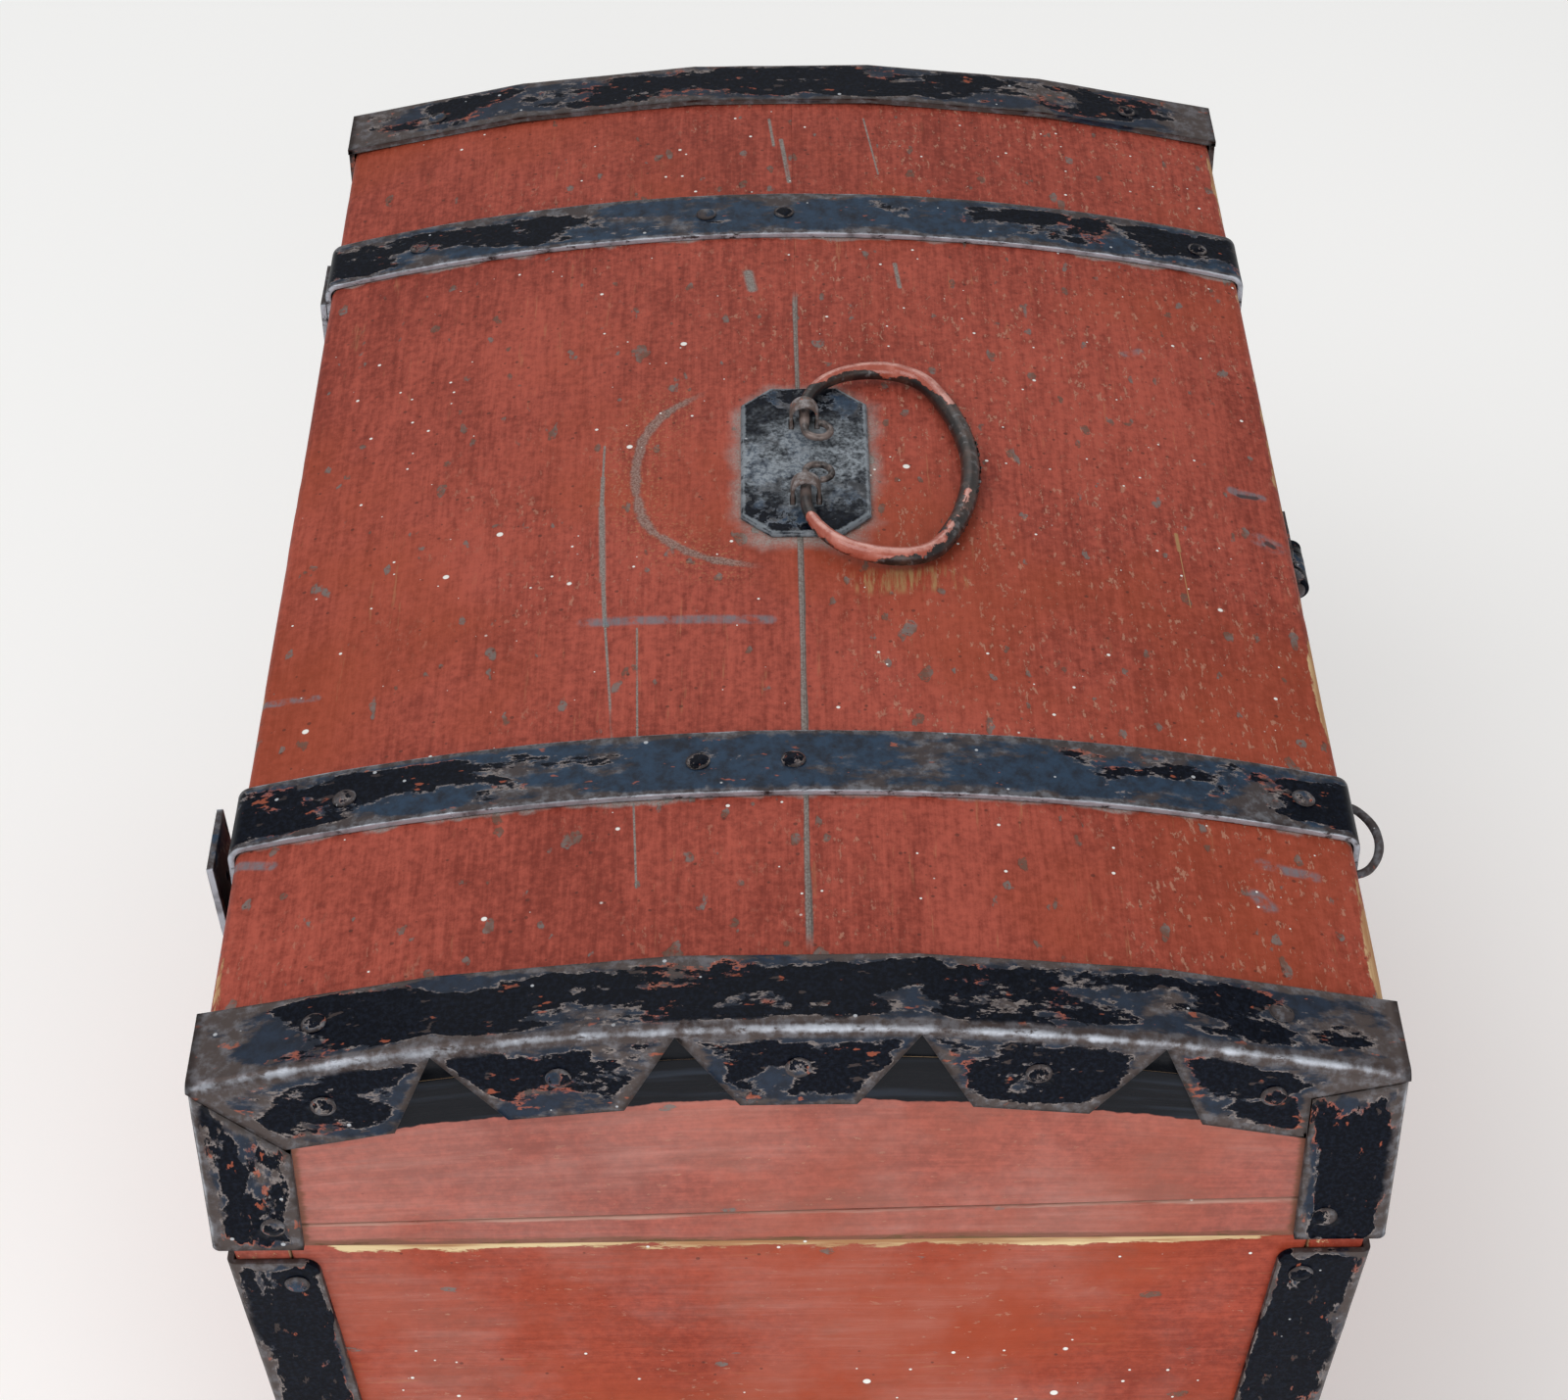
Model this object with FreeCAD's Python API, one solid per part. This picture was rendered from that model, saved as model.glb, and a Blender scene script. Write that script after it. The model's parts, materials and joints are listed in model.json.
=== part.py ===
import FreeCAD, Part
import math
import os
from FreeCAD import Placement, Rotation, Vector

# Iron-bound box with a domed lid. Millimetres and degrees.
# X runs along the length, the front faces -Y, Z is up and zero on the floor under the middle of the box.

# Box
box_length = 472.0  # outside, at the rim
box_depth = 296.0  # outside, at the rim
box_height = 230.0  # floor to rim
wall_lean = 5.0  # every wall leans in towards the floor
wall = 15.0  # board thickness, measured level
bottom_thickness = 14.0

# Lid
lid_overhang = 2.0  # past the box, on every side
lid_gap = 0.5  # between the rim and the closed lid
lid_side = 59.0  # height of the straight sides
dome_rise = 19.0  # crown above the eaves
lid_wall = 14.0
top_thickness = 10.0
eave_round = 3.0
seam_y = -3.2  # joint of the two top boards
seam_gap = 0.4
strip_height_back = 8.0  # strip along the foot of each end board, at its back end
strip_height_front = 14.5
strip_gap = 0.3

# Straps and angle irons
iron = 2.0  # thickness of every strap
strap_width = 25.0
strap_x = 139.0  # middle of each strap, from mid length
strap_foot = 1.0  # strap ends above the lid's lower edge
corner_leg = 24.0
corner_round = 2.5  # outer edge of the corner irons
corner_top_round = 5.0  # inner top corners of the irons on the box
corner_top_drop = 6.5  # irons on the box stop short of the rim
corner_floor_gap = 3.0  # and short of the floor
end_leg_top = 26.0  # end iron, leg on the dome
end_leg_face = 27.0  # end iron, leg on the end board
end_facets = 5
fold_round = 3.0
notch_half_width = 14.0
notch_apex_drop = 3.0  # below the iron's top face
mitre_drop_back = 22.0  # slope of the lap between end iron and corner iron
mitre_drop_front = 6.0
lap_gap = 0.3
front_strap_top_drop = 4.0
front_strap_foot = 8.0

# Nails
nail_head_radius = 3.4
nail_head_edge = 0.5
nail_head_height = 1.3
nail_shank = 2.6  # square
nail_tip = 1.2
nail_in_wood = 8.5  # reach below the iron
nail_from_corner = 17.0
lid_strap_nail_places = (-1.14, 0, 0.21, 1)  # shares of the way from crown to the outer flats
end_nail_place = 0.6  # share of the end iron's leg on the dome
lid_corner_nail_place = 0.17  # share of the lid's side
box_corner_nail_count = 4
box_corner_nail_foot = 2.2  # lowest nail above the bottom board
box_corner_nail_head = 8.8  # highest nail below the iron's top
box_strap_nail_places = (0.1, 0.5, 0.88)
leaf_nail_places = (0.3, 0.75)
bottom_nail_places_long = (-0.8, -0.4, 0, 0.4, 0.8)
bottom_nail_places_short = (-0.5, 0.5)
bottom_nail_from_edge = 8.0
bottom_nail_length = 30.0
bottom_nail_sink = 1.6  # heads lie just under the board's face
bottom_nail_recess = 0.4  # wider than the head

# Handle on the crown
handle_y = -5.0
plate_length = 75.0
plate_width = 38.5
plate_cut = 9.0  # cut corners
plate_thickness = 1.8
plate_bevel = 0.8
eye_middle = -1.5  # between the two eyes, along X
eye_spacing = 38.7
eye_band = 1.4  # thickness of the flat bar
eye_band_width = 5.5
eye_play = 1.2  # round the bail's ends
eye_clench = 9.0  # tails turned over inside the lid
eye_clench_bend = 2.5
eye_clench_gap = 0.3
pivot_height = 3.8  # bail's axis above the plate
bail_end_radius = 2.0
bail_radius = 3.2
bail_half_width = 47.4  # to the middle of the bar
bail_reach = 49.4
bail_shoulder_radius = 17.0
bail_middle = -4.0  # along X
bail_curl_radius = 3.9  # ends curl past the eyes, to the middle of the wire
bail_curl_wire = 1.4
bail_curl_turn = 270.0
bail_curl_taper = 4.0
bail_curl_gap = 0.5  # between curl and eye
bail_rest_gap = 0.3

# Loop on the front of the lid
loop_drop = 10.0  # below the eaves
loop_wire_radius = 1.4
loop_reach = 9.4  # middle of the wire, out from the lid
loop_bend = 7.0
loop_strap_gap = 0.3
loop_leg = 12.0

# Hinges on the back
hinge_pin_radius = 2.5
hinge_running = 0.05
hinge_clear = 0.3
knuckle_wall = 2.0
lower_knuckle = 8.0
leaf_drop = 5.4  # leaf stops below the eaves
leaf_lean_left = 4.5  # the left leaf has sprung away from the lid
leaf_lean_right = 0.0
hinge_joggle = 14.0  # lower strap steps out below the rim
hinge_strap_foot = 8.0
pin_head = 1.5
pin_head_over = 0.9  # head's radius past the pin's

# Hasp on the front
hasp_drop = 23.0  # pivot below the eaves
hasp_width = 20.0
hasp_plate = 2.5
hasp_leaf_top = 8.0  # leaf stops below the eaves
hasp_leaf_thickness = 2.0
hasp_pin_radius = 2.0
hasp_knuckle_wall = 1.95
hasp_side_knuckle = 5.6
hasp_lean = 9.0  # hangs this far out, clear of its staple
hasp_below_slot = 6.0
staple_drop = 14.0  # below the rim
staple_pitch = 12.0
staple_wire_radius = 2.0
staple_reach = 13.6
staple_leg = 12.0
slot_side_clear = 0.8
slot_end_clear = 2.5

# Worked out from the sizes above
taper = math.tan(math.radians(wall_lean))
rim = box_height
lid_low = rim + lid_gap
eave = lid_low + lid_side
crown = eave + dome_rise
lid_x = box_length / 2 + lid_overhang
lid_y = box_depth / 2 + lid_overhang
dome_radius = (lid_y**2 + dome_rise**2) / (2 * dome_rise)
dome_axis_z = crown - dome_radius
under_radius = dome_radius - top_thickness
far = 4 * (box_length + box_depth + box_height)  # longer than any piece
fine = 0.01  # for picking edges by place
sides = {"left": -1, "right": 1}
faces = {"front": -1, "back": 1}


def half_length(z):
    return box_length / 2 - taper * (rim - z)


def half_depth(z):
    return box_depth / 2 - taper * (rim - z)


def dome_height(y, radius=dome_radius):
    return dome_axis_z + math.sqrt(radius**2 - y**2)


def block(low, high):
    size = Vector(*high) - Vector(*low)
    return Part.makeBox(size.x, size.y, size.z, Vector(*low))


def tapered_block(low_z, high_z, rectangle):
    """Solid between two level rectangles; rectangle(z) gives x and y limits."""
    rings = []
    for z in (low_z, high_z):
        x_low, x_high, y_low, y_high = rectangle(z)
        corners = [(x_low, y_low), (x_high, y_low), (x_high, y_high), (x_low, y_high)]
        rings.append([Vector(x, y, z) for x, y in corners])
    low, high = rings
    loops = [low, high]
    for i in range(4):
        j = (i + 1) % 4
        loops.append([low[i], low[j], high[j], high[i]])
    skin = Part.Shell([Part.Face(Part.makePolygon(loop + loop[:1])) for loop in loops])
    solid = Part.Solid(skin)
    if solid.Volume < 0:
        solid.reverse()
    return solid


def prism_x(points, x_low, x_high):
    """Outline of (y, z) points drawn out along X."""
    loop = [Vector(x_low, y, z) for y, z in points]
    return Part.Face(Part.makePolygon(loop + loop[:1])).extrude(Vector(x_high - x_low, 0, 0))


def dome_cylinder(radius):
    return Part.makeCylinder(radius, far, Vector(-far / 2, 0, dome_axis_z), Vector(1, 0, 0))


def rod_x(radius, x_low, x_high, y, z):
    return Part.makeCylinder(radius, x_high - x_low, Vector(x_low, y, z), Vector(1, 0, 0))


def swept_bar(edges, radius):
    """Round bar along a path of lines and arcs."""
    path = Part.Wire(edges)
    start = edges[0].valueAt(edges[0].FirstParameter)
    heading = edges[0].tangentAt(edges[0].FirstParameter)
    section = Part.Face(Part.Wire(Part.Circle(start, heading, radius).toShape()))
    return path.makePipe(section)


def swept_band(edges, width, thickness):
    """Flat bar along a path of lines and arcs that lies in a plane across X."""
    start = edges[0].valueAt(edges[0].FirstParameter)
    heading = edges[0].tangentAt(edges[0].FirstParameter)
    across = Vector(width / 2, 0, 0)
    up = heading.cross(Vector(1, 0, 0)) * (thickness / 2)
    corners = [start + across + up, start - across + up, start - across - up, start + across - up]
    return Part.Wire(edges).makePipe(Part.Face(Part.makePolygon(corners + corners[:1])))


def line(start, end):
    return Part.LineSegment(start, end).toShape()


def arc(start, middle, end):
    return Part.Arc(start, middle, end).toShape()


def turned(shape, degrees, centre):
    """Copy of a shape turned about a line along X."""
    copy = shape.copy()
    copy.rotate(centre, Vector(1, 0, 0), degrees)
    return copy


# Nails: a low forged head over a square tapered shank

def nail_shank_solid(length):
    def square(z):
        half = nail_tip / 2 + (nail_shank - nail_tip) / 2 * (1 + z / length)
        return -half, half, -half, half
    return tapered_block(-length, 0, square)


def nail_head_solid():
    edge = Vector(nail_head_radius, 0, nail_head_edge)
    top = Vector(0, 0, nail_head_height)
    rise = nail_head_height - nail_head_edge
    ball = (nail_head_radius**2 + rise**2) / (2 * rise)
    half_turn = math.asin(nail_head_radius / ball) / 2
    middle = Vector(ball * math.sin(half_turn), 0, nail_head_height - ball * (1 - math.cos(half_turn)))
    foot = Vector(nail_head_radius, 0, 0)
    outline = Part.Wire([line(Vector(), foot), line(foot, edge), arc(edge, middle, top), line(top, Vector())])
    return Part.Face(outline).revolve(Vector(), Vector(0, 0, 1), 360)


class NailGroup:
    """Nails of one node, with the shanks that their holes are cut from."""

    def __init__(self):
        self.nails = []
        self.shanks = []

    def drive(self, seat, outward, depth=iron + nail_in_wood):
        place = Placement(seat, Rotation(Vector(0, 0, 1), outward))
        shank = nail_shank_solid(depth)
        nail = nail_head_solid().fuse(shank).removeSplitter()
        for shape, group in ((nail, self.nails), (shank, self.shanks)):
            shape.Placement = place
            group.append(shape)

    def solid(self):
        return Part.makeCompound(self.nails)


def pierced(shape, *tools):
    """Shape with a hole for each nail or leg that reaches it."""
    cutters = []
    for tool in tools:
        cutters.extend(tool.shanks if isinstance(tool, NailGroup) else [tool])
    near = [cutter for cutter in cutters if shape.BoundBox.intersect(cutter.BoundBox)]
    return shape.cut(near) if near else shape


lid_strap_nails = NailGroup()
lid_end_nails = NailGroup()
lid_corner_nails = NailGroup()
lid_fitting_nails = NailGroup()
box_corner_nails = NailGroup()
box_strap_nails = NailGroup()
bottom_nails = NailGroup()


# Lid: boards

def lid_outline(grow, low_z, x_low, x_high):
    """Lid as one block with rounded eaves, grown outwards by a strap's thickness."""
    y = lid_y + grow
    body = block((x_low, -y, low_z), (x_high, y, crown + grow + iron))
    body = body.common(dome_cylinder(dome_radius + grow))
    eaves_z = dome_height(y, dome_radius + grow)
    middle = Vector((x_low + x_high) / 2, 0, eaves_z)
    eaves = []
    for edge in body.Edges:
        offset = edge.CenterOfMass - middle
        if abs(abs(offset.y) - y) < fine and abs(offset.z) < fine and abs(offset.x) < fine:
            eaves.append(edge)
    return body.makeFillet(eave_round + grow, eaves)


def lid_top_board(y_low, y_high):
    top = lid_outline(0, lid_low, -lid_x, lid_x).cut(dome_cylinder(under_radius))
    return top.common(block((-far, y_low, 0), (far, y_high, far)))


def lid_rail(face):
    y_low, y_high = sorted((face * lid_y, face * (lid_y - lid_wall)))
    return block((-lid_x, y_low, lid_low), (lid_x, y_high, crown)).common(dome_cylinder(under_radius))


def lid_end(side):
    """Arched end board and the strip along its foot."""
    x_low, x_high = sorted((side * lid_x, side * (lid_x - lid_wall)))
    inner_y = lid_y - lid_wall
    whole = block((x_low, -inner_y, lid_low), (x_high, inner_y, crown)).common(dome_cylinder(under_radius))
    back_z = lid_low + strip_height_back
    front_z = lid_low + strip_height_front
    below = [(inner_y, 0), (-inner_y, 0)]
    strip = whole.common(prism_x(below + [(-inner_y, front_z), (inner_y, back_z)], -far, far))
    gap = [(-inner_y, front_z + strip_gap), (inner_y, back_z + strip_gap)]
    return whole.cut(prism_x(below + gap, -far, far)), strip


# Lid: irons

def lid_strap(side):
    x_low = side * strap_x - strap_width / 2
    x_high = side * strap_x + strap_width / 2
    outer = lid_outline(iron, lid_low + strap_foot, x_low, x_high)
    return outer.cut(lid_outline(0, lid_low, x_low - iron, x_high + iron))


def mitre_outline(face, gap, end_z):
    """Region on one side of the lap between a corner iron and the end iron, as (y, z) points."""
    drop = mitre_drop_back if face > 0 else mitre_drop_front
    outer = lid_y + iron
    inner = outer - corner_leg - gap
    return [(face * outer, end_z), (face * inner, end_z),
            (face * inner, eave - drop + gap), (face * outer, eave - lap_gap + gap)]


def lid_corner_iron(side, face):
    low = lid_low + strap_foot
    high = eave - lap_gap
    x_outer = side * (lid_x + iron)
    y_outer = face * (lid_y + iron)
    x_end, x_face = sorted((x_outer, side * lid_x))
    y_low, y_high = sorted((y_outer, face * (lid_y + iron - corner_leg)))
    end_leg = block((x_end, y_low, low), (x_face, y_high, high))
    x_low, x_high = sorted((x_outer, side * (lid_x + iron - corner_leg)))
    y_low, y_high = sorted((y_outer, face * lid_y))
    side_leg = block((x_low, y_low, low), (x_high, y_high, high))
    both = rounded_corner(end_leg.fuse(side_leg).removeSplitter(), Vector(x_outer, y_outer, high), 0)
    return both.cut(prism_x(mitre_outline(face, 0, crown), x_end, x_face))


def rounded_corner(shape, corner, lean):
    """Round the upright outer edge through the corner; lean is how far it shifts for each unit of height."""
    def off_corner(edge):
        middle = edge.CenterOfMass
        shift = lean * (corner.z - middle.z)
        return max(abs(abs(corner.x) - shift - abs(middle.x)), abs(abs(corner.y) - shift - abs(middle.y)))
    return shape.makeFillet(corner_round, [min(shape.Edges, key=off_corner)])


facet_turn = 2 * math.asin(lid_y / dome_radius) / end_facets


def radial(angle, radius):
    """Point in the end plane; angle is measured from the crown towards the back."""
    return radius * math.sin(angle), dome_axis_z + radius * math.cos(angle)


def end_iron_facet(side, index):
    """One flat of an end iron: an angle bar tangent to the dome, cut at the knees."""
    middle = (index - (end_facets - 1) / 2) * facet_turn
    fold_x = side * (lid_x + iron)
    inner_x = side * (lid_x + iron - end_leg_top)
    face_x = side * lid_x
    foot = iron - end_leg_face
    bend = fold_x - side * fold_round
    bend_middle = fold_round * (1 - math.sqrt(0.5))
    corners = [(inner_x, 0), (inner_x, iron), (bend, iron), (fold_x, iron - fold_round),
               (fold_x, foot), (face_x, foot), (face_x, 0)]
    points = [Vector(x, -lid_y, up) for x, up in corners]
    knuckle = Vector(fold_x - side * bend_middle, -lid_y, iron - bend_middle)
    edges = [line(points[i], points[i + 1]) for i in (0, 1)]
    edges.append(arc(points[2], knuckle, points[3]))
    edges += [line(points[i], points[(i + 1) % 7]) for i in (3, 4, 5, 6)]
    bar = Part.Face(Part.Wire(edges)).extrude(Vector(0, 2 * lid_y, 0))
    y, z = radial(middle, dome_radius)
    bar.Placement = Placement(Vector(0, y, z), Rotation(Vector(1, 0, 0), -math.degrees(middle)))
    low = middle - facet_turn / 2
    high = middle + facet_turn / 2
    if index == 0:
        low -= facet_turn
    if index == end_facets - 1:
        high += facet_turn
    reach = dome_radius + end_leg_face
    wedge = [radial(0, 0), radial(low, reach), radial(high, reach)]
    return bar.common(prism_x(wedge, -far, far))


def end_iron(side):
    shape = end_iron_facet(side, 0)
    for index in range(1, end_facets):
        shape = shape.fuse(end_iron_facet(side, index))
    shape = shape.removeSplitter()
    outer = lid_y + iron
    shape = shape.common(block((-far, -outer, 0), (far, outer, far)))
    face_x = sorted((side * lid_x, side * (lid_x + 2 * iron)))
    knee_radius = (dome_radius + iron) / math.cos(facet_turn / 2)
    for index in range(1, end_facets):
        angle = (index - end_facets / 2) * facet_turn
        depth = 2 * end_leg_face
        spread = notch_half_width * depth / (end_leg_face - notch_apex_drop)
        apex_y, apex_z = radial(angle, knee_radius - notch_apex_drop)
        foot_y, foot_z = radial(angle, knee_radius - notch_apex_drop - depth)
        across_y = spread * math.cos(angle)
        across_z = spread * math.sin(angle)
        foot = [(foot_y + across_y, foot_z - across_z), (foot_y - across_y, foot_z + across_z)]
        notch = [(apex_y, apex_z)] + foot
        shape = shape.cut(prism_x(notch, *face_x))
    for face in faces.values():
        shape = shape.cut(prism_x(mitre_outline(face, lap_gap, lid_low), *face_x))
    return shape


def nail_lid_irons():
    end_angle = facet_turn * (end_facets - 1) / 2
    for side in sides.values():
        for share in lid_strap_nail_places:
            y, z = radial(share * end_angle, dome_radius + iron)
            outward = Vector(0, math.sin(share * end_angle), math.cos(share * end_angle))
            lid_strap_nails.drive(Vector(side * strap_x, y, z), outward)
        front_seat = Vector(side * strap_x, -lid_y - iron, lid_low + lid_side / 2)
        lid_strap_nails.drive(front_seat, Vector(0, -1, 0))
        for index in range(end_facets):
            angle = (index - (end_facets - 1) / 2) * facet_turn
            y, z = radial(angle, dome_radius + iron - end_leg_face / 2)
            lid_end_nails.drive(Vector(side * (lid_x + iron), y, z), Vector(side, 0, 0))
            if index in (0, end_facets - 1):
                y, z = radial(angle, dome_radius + iron)
                seat = Vector(side * (lid_x + iron - end_leg_top * end_nail_place), y, z)
                lid_end_nails.drive(seat, Vector(0, math.sin(angle), math.cos(angle)))
        for face in faces.values():
            z = lid_low + lid_corner_nail_place * lid_side
            across = nail_from_corner
            end_seat = Vector(side * (lid_x + iron), face * (lid_y + iron - across), z)
            lid_corner_nails.drive(end_seat, Vector(side, 0, 0))
            side_seat = Vector(side * (lid_x + iron - across), face * (lid_y + iron), z)
            lid_corner_nails.drive(side_seat, Vector(0, face, 0))


# Handle

plate_top = crown + plate_thickness
pivot = Vector(0, handle_y, plate_top + pivot_height)
eye_radius = bail_end_radius + eye_play + eye_band / 2


def handle_plate():
    x = plate_length / 2
    y = plate_width / 2
    short_x = x - plate_cut
    short_y = y - plate_cut
    outline = [(x, short_y), (short_x, y), (-short_x, y), (-x, short_y)]
    outline += [(-px, -py) for px, py in outline]
    loop = [Vector(px, handle_y + py, crown) for px, py in outline]
    plate = Part.Face(Part.makePolygon(loop + loop[:1])).extrude(Vector(0, 0, plate_thickness))
    rim_edges = [edge for edge in plate.Edges if edge.BoundBox.ZMin > plate_top - fine]
    return plate.makeChamfer(plate_bevel, rim_edges)


def handle_eye(x):
    """Flat bar bent over the bail's end, its two legs driven through plate and lid and turned outwards."""
    def point(y, z):
        return Vector(x, handle_y + y, z)
    tail_y = eye_radius + eye_clench_bend + eye_clench
    tail_z = dome_height(abs(handle_y) + tail_y, under_radius) - eye_band / 2 - eye_clench_gap
    turn_z = tail_z + eye_clench_bend
    bend = eye_clench_bend * (1 - math.sqrt(0.5))
    legs = []
    for way in (-1, 1):
        leg = way * eye_radius
        turn = leg + way * eye_clench_bend
        corner = point(leg + way * bend, tail_z + bend)
        legs.append((point(way * tail_y, tail_z), point(turn, tail_z), corner, point(leg, turn_z),
                     point(leg, pivot.z)))
    front, back = legs
    path = [line(front[0], front[1]), arc(*front[1:4]), line(front[3], front[4])]
    path.append(arc(front[4], point(0, pivot.z + eye_radius), back[4]))
    path += [line(back[4], back[3]), arc(back[3], back[2], back[1]), line(back[1], back[0])]
    return swept_band(path, eye_band_width, eye_band)


def bail_lean(way):
    """Angle below level at which the bail's tip lies on the lid, towards the front or the back."""
    tip_y = handle_y + way * bail_reach
    rest_z = dome_height(tip_y) + bail_radius + bail_rest_gap
    return math.degrees(math.asin((pivot.z - rest_z) / bail_reach))


def handle_bail():
    """Oval bar open at the pivots; its thinner ends pass inwards through the eyes and curl round."""
    low_radius = bail_reach / 2
    low_x = bail_half_width - low_radius
    shoulder_x = bail_half_width - bail_shoulder_radius
    low_y = low_radius
    rise = bail_reach - low_y
    crown_radius = (shoulder_x**2 + rise**2 - bail_shoulder_radius**2) / (2 * (rise - bail_shoulder_radius))
    crown_y = bail_reach - crown_radius
    lean = math.atan2(shoulder_x, low_y - crown_y)

    def point(u, v):
        return pivot + Vector(bail_middle + u, -v, 0)

    def on_circle(u, v, radius, angle, way):
        return point(way * (u + radius * math.sin(angle)), v + radius * math.cos(angle))
    bail = None
    for way in (-1, 1):
        eye_u = eye_spacing / 2 + way * (eye_middle - bail_middle)
        curl_reach = bail_curl_radius + bail_curl_wire
        curl_u = eye_u - eye_band_width / 2 - bail_curl_gap - curl_reach
        taper_u = curl_u + bail_curl_taper

        def on_curl(share):
            return on_circle(curl_u, bail_curl_radius, bail_curl_radius,
                             math.pi + math.radians(share * bail_curl_turn), way)
        halves = [arc(on_curl(0), on_curl(0.25), on_curl(0.5)), arc(on_curl(0.5), on_curl(0.75), on_curl(1))]
        curl = swept_bar(halves, bail_curl_wire)
        taper_end = Part.makeCone(bail_end_radius, bail_curl_wire, bail_curl_taper, point(way * taper_u, 0),
                                  Vector(-way, 0, 0))
        shaft = swept_bar([line(point(way * taper_u, 0), point(way * low_x, 0))], bail_end_radius)
        end = shaft.fuse([taper_end, curl])
        bend = arc(point(way * low_x, 0), on_circle(low_x, low_y, low_radius, math.pi * 0.75, way),
                   point(way * bail_half_width, low_y))
        thin = Part.Circle(point(way * low_x, 0), Vector(1, 0, 0), bail_end_radius)
        thick = Part.Circle(point(way * bail_half_width, low_y), Vector(0, 1, 0), bail_radius)
        sections = [Part.Wire(circle.toShape()) for circle in (thin, thick)]
        shoulder = Part.Wire([bend]).makePipeShell(sections, True, False)
        half = end.fuse(shoulder)
        bail = half if bail is None else bail.fuse(half)
    crown_path = []
    for way in (-1, 1):
        start = point(way * bail_half_width, low_y)
        middle = on_circle(shoulder_x, low_y, bail_shoulder_radius, (math.pi / 2 + lean) / 2, way)
        end = on_circle(shoulder_x, low_y, bail_shoulder_radius, lean, way)
        crown_path.append((start, middle, end))
    left, right = crown_path
    path = [arc(*left), arc(left[2], point(0, bail_reach), right[2]), arc(right[2], right[1], right[0])]
    bail = bail.fuse(swept_bar(path, bail_radius)).removeSplitter()
    return turned(bail, bail_lean(-1), pivot)


# Loop on the front, over the left strap

def front_loop():
    """Flattened half ring with straight legs driven into the rail either side of the strap."""
    half = strap_width / 2 + loop_strap_gap + loop_wire_radius
    x = -strap_x
    z = eave - loop_drop
    bend_x = half - loop_bend
    rise = loop_reach - loop_bend
    drop = (bend_x**2 - rise**2) / (2 * rise)
    big = loop_reach + drop
    turn = math.atan2(bend_x, drop)

    def point(u, out):
        return Vector(x + u, -lid_y - out, z)

    def bend_point(way, angle):
        return point(way * (bend_x + loop_bend * math.sin(angle)), loop_bend * math.cos(angle))
    middle = (math.pi / 2 + turn) / 2
    path = [
        line(point(-half, -loop_leg), point(-half, 0)),
        arc(point(-half, 0), bend_point(-1, middle), bend_point(-1, turn)),
        arc(bend_point(-1, turn), point(0, big - drop), bend_point(1, turn)),
        arc(bend_point(1, turn), bend_point(1, middle), point(half, 0)),
        line(point(half, 0), point(half, -loop_leg)),
    ]
    return swept_bar(path, loop_wire_radius)


# Box: boards

def box_side_board(face):
    def rectangle(z):
        y_low, y_high = sorted((face * half_depth(z), face * (half_depth(z) - wall)))
        return -half_length(z), half_length(z), y_low, y_high
    return tapered_block(bottom_thickness, rim, rectangle)


def box_end_board(side):
    def rectangle(z):
        x_low, x_high = sorted((side * half_length(z), side * (half_length(z) - wall)))
        return x_low, x_high, wall - half_depth(z), half_depth(z) - wall
    return tapered_block(bottom_thickness, rim, rectangle)


def box_bottom():
    def rectangle(z):
        return -half_length(z), half_length(z), -half_depth(z), half_depth(z)
    return tapered_block(0, bottom_thickness, rectangle)


# Box: irons

def box_corner_iron(side, face):
    low = corner_floor_gap
    high = rim - corner_top_drop

    def end_leg(z):
        outer = half_depth(z) + iron
        x_low, x_high = sorted((side * half_length(z), side * (half_length(z) + iron)))
        y_low, y_high = sorted((face * outer, face * (outer - corner_leg)))
        return x_low, x_high, y_low, y_high

    def side_leg(z):
        outer = half_length(z) + iron
        x_low, x_high = sorted((side * outer, side * (outer - corner_leg)))
        y_low, y_high = sorted((face * half_depth(z), face * (half_depth(z) + iron)))
        return x_low, x_high, y_low, y_high
    both = tapered_block(low, high, end_leg).fuse(tapered_block(low, high, side_leg)).removeSplitter()
    corner = Vector(side * (half_length(high) + iron), face * (half_depth(high) + iron), high)
    both = rounded_corner(both, corner, taper)
    tops = []
    for edge in both.Edges:
        middle = edge.CenterOfMass
        thin = edge.Length < corner_leg / 2 and edge.BoundBox.ZMin > high - fine
        away = abs(middle.x - corner.x) > corner_leg / 2 or abs(middle.y - corner.y) > corner_leg / 2
        if thin and away:
            tops.append(edge)
    return both.makeFillet(corner_top_round, tops)


def box_front_strap(side):
    def rectangle(z):
        middle = side * strap_x
        return middle - strap_width / 2, middle + strap_width / 2, -half_depth(z) - iron, -half_depth(z)
    return tapered_block(front_strap_foot, rim - front_strap_top_drop, rectangle)


def nail_box_irons():
    lean = math.radians(wall_lean)
    low = bottom_thickness + box_corner_nail_foot
    high = rim - corner_top_drop - box_corner_nail_head
    for side in sides.values():
        for face in faces.values():
            for index in range(box_corner_nail_count):
                z = low + (high - low) * index / (box_corner_nail_count - 1)
                x = half_length(z) + iron
                y = half_depth(z) + iron
                end_out = Vector(side * math.cos(lean), 0, -math.sin(lean))
                box_corner_nails.drive(Vector(side * x, face * (y - nail_from_corner), z), end_out)
                side_out = Vector(0, face * math.cos(lean), -math.sin(lean))
                box_corner_nails.drive(Vector(side * (x - nail_from_corner), face * y, z), side_out)
        for face in faces.values():
            for share in box_strap_nail_places:
                z = front_strap_foot + share * (rim - hinge_joggle - front_strap_foot)
                side_out = Vector(0, face * math.cos(lean), -math.sin(lean))
                box_strap_nails.drive(Vector(side * strap_x, face * (half_depth(z) + iron), z), side_out)


def bottom_nail_recesses():
    radius = nail_head_radius + bottom_nail_recess
    recesses = []
    for nail in bottom_nails.nails:
        seat = nail.Placement.Base
        recesses.append(Part.makeCylinder(radius, bottom_nail_sink, Vector(seat.x, seat.y, 0)))
    return recesses


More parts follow.
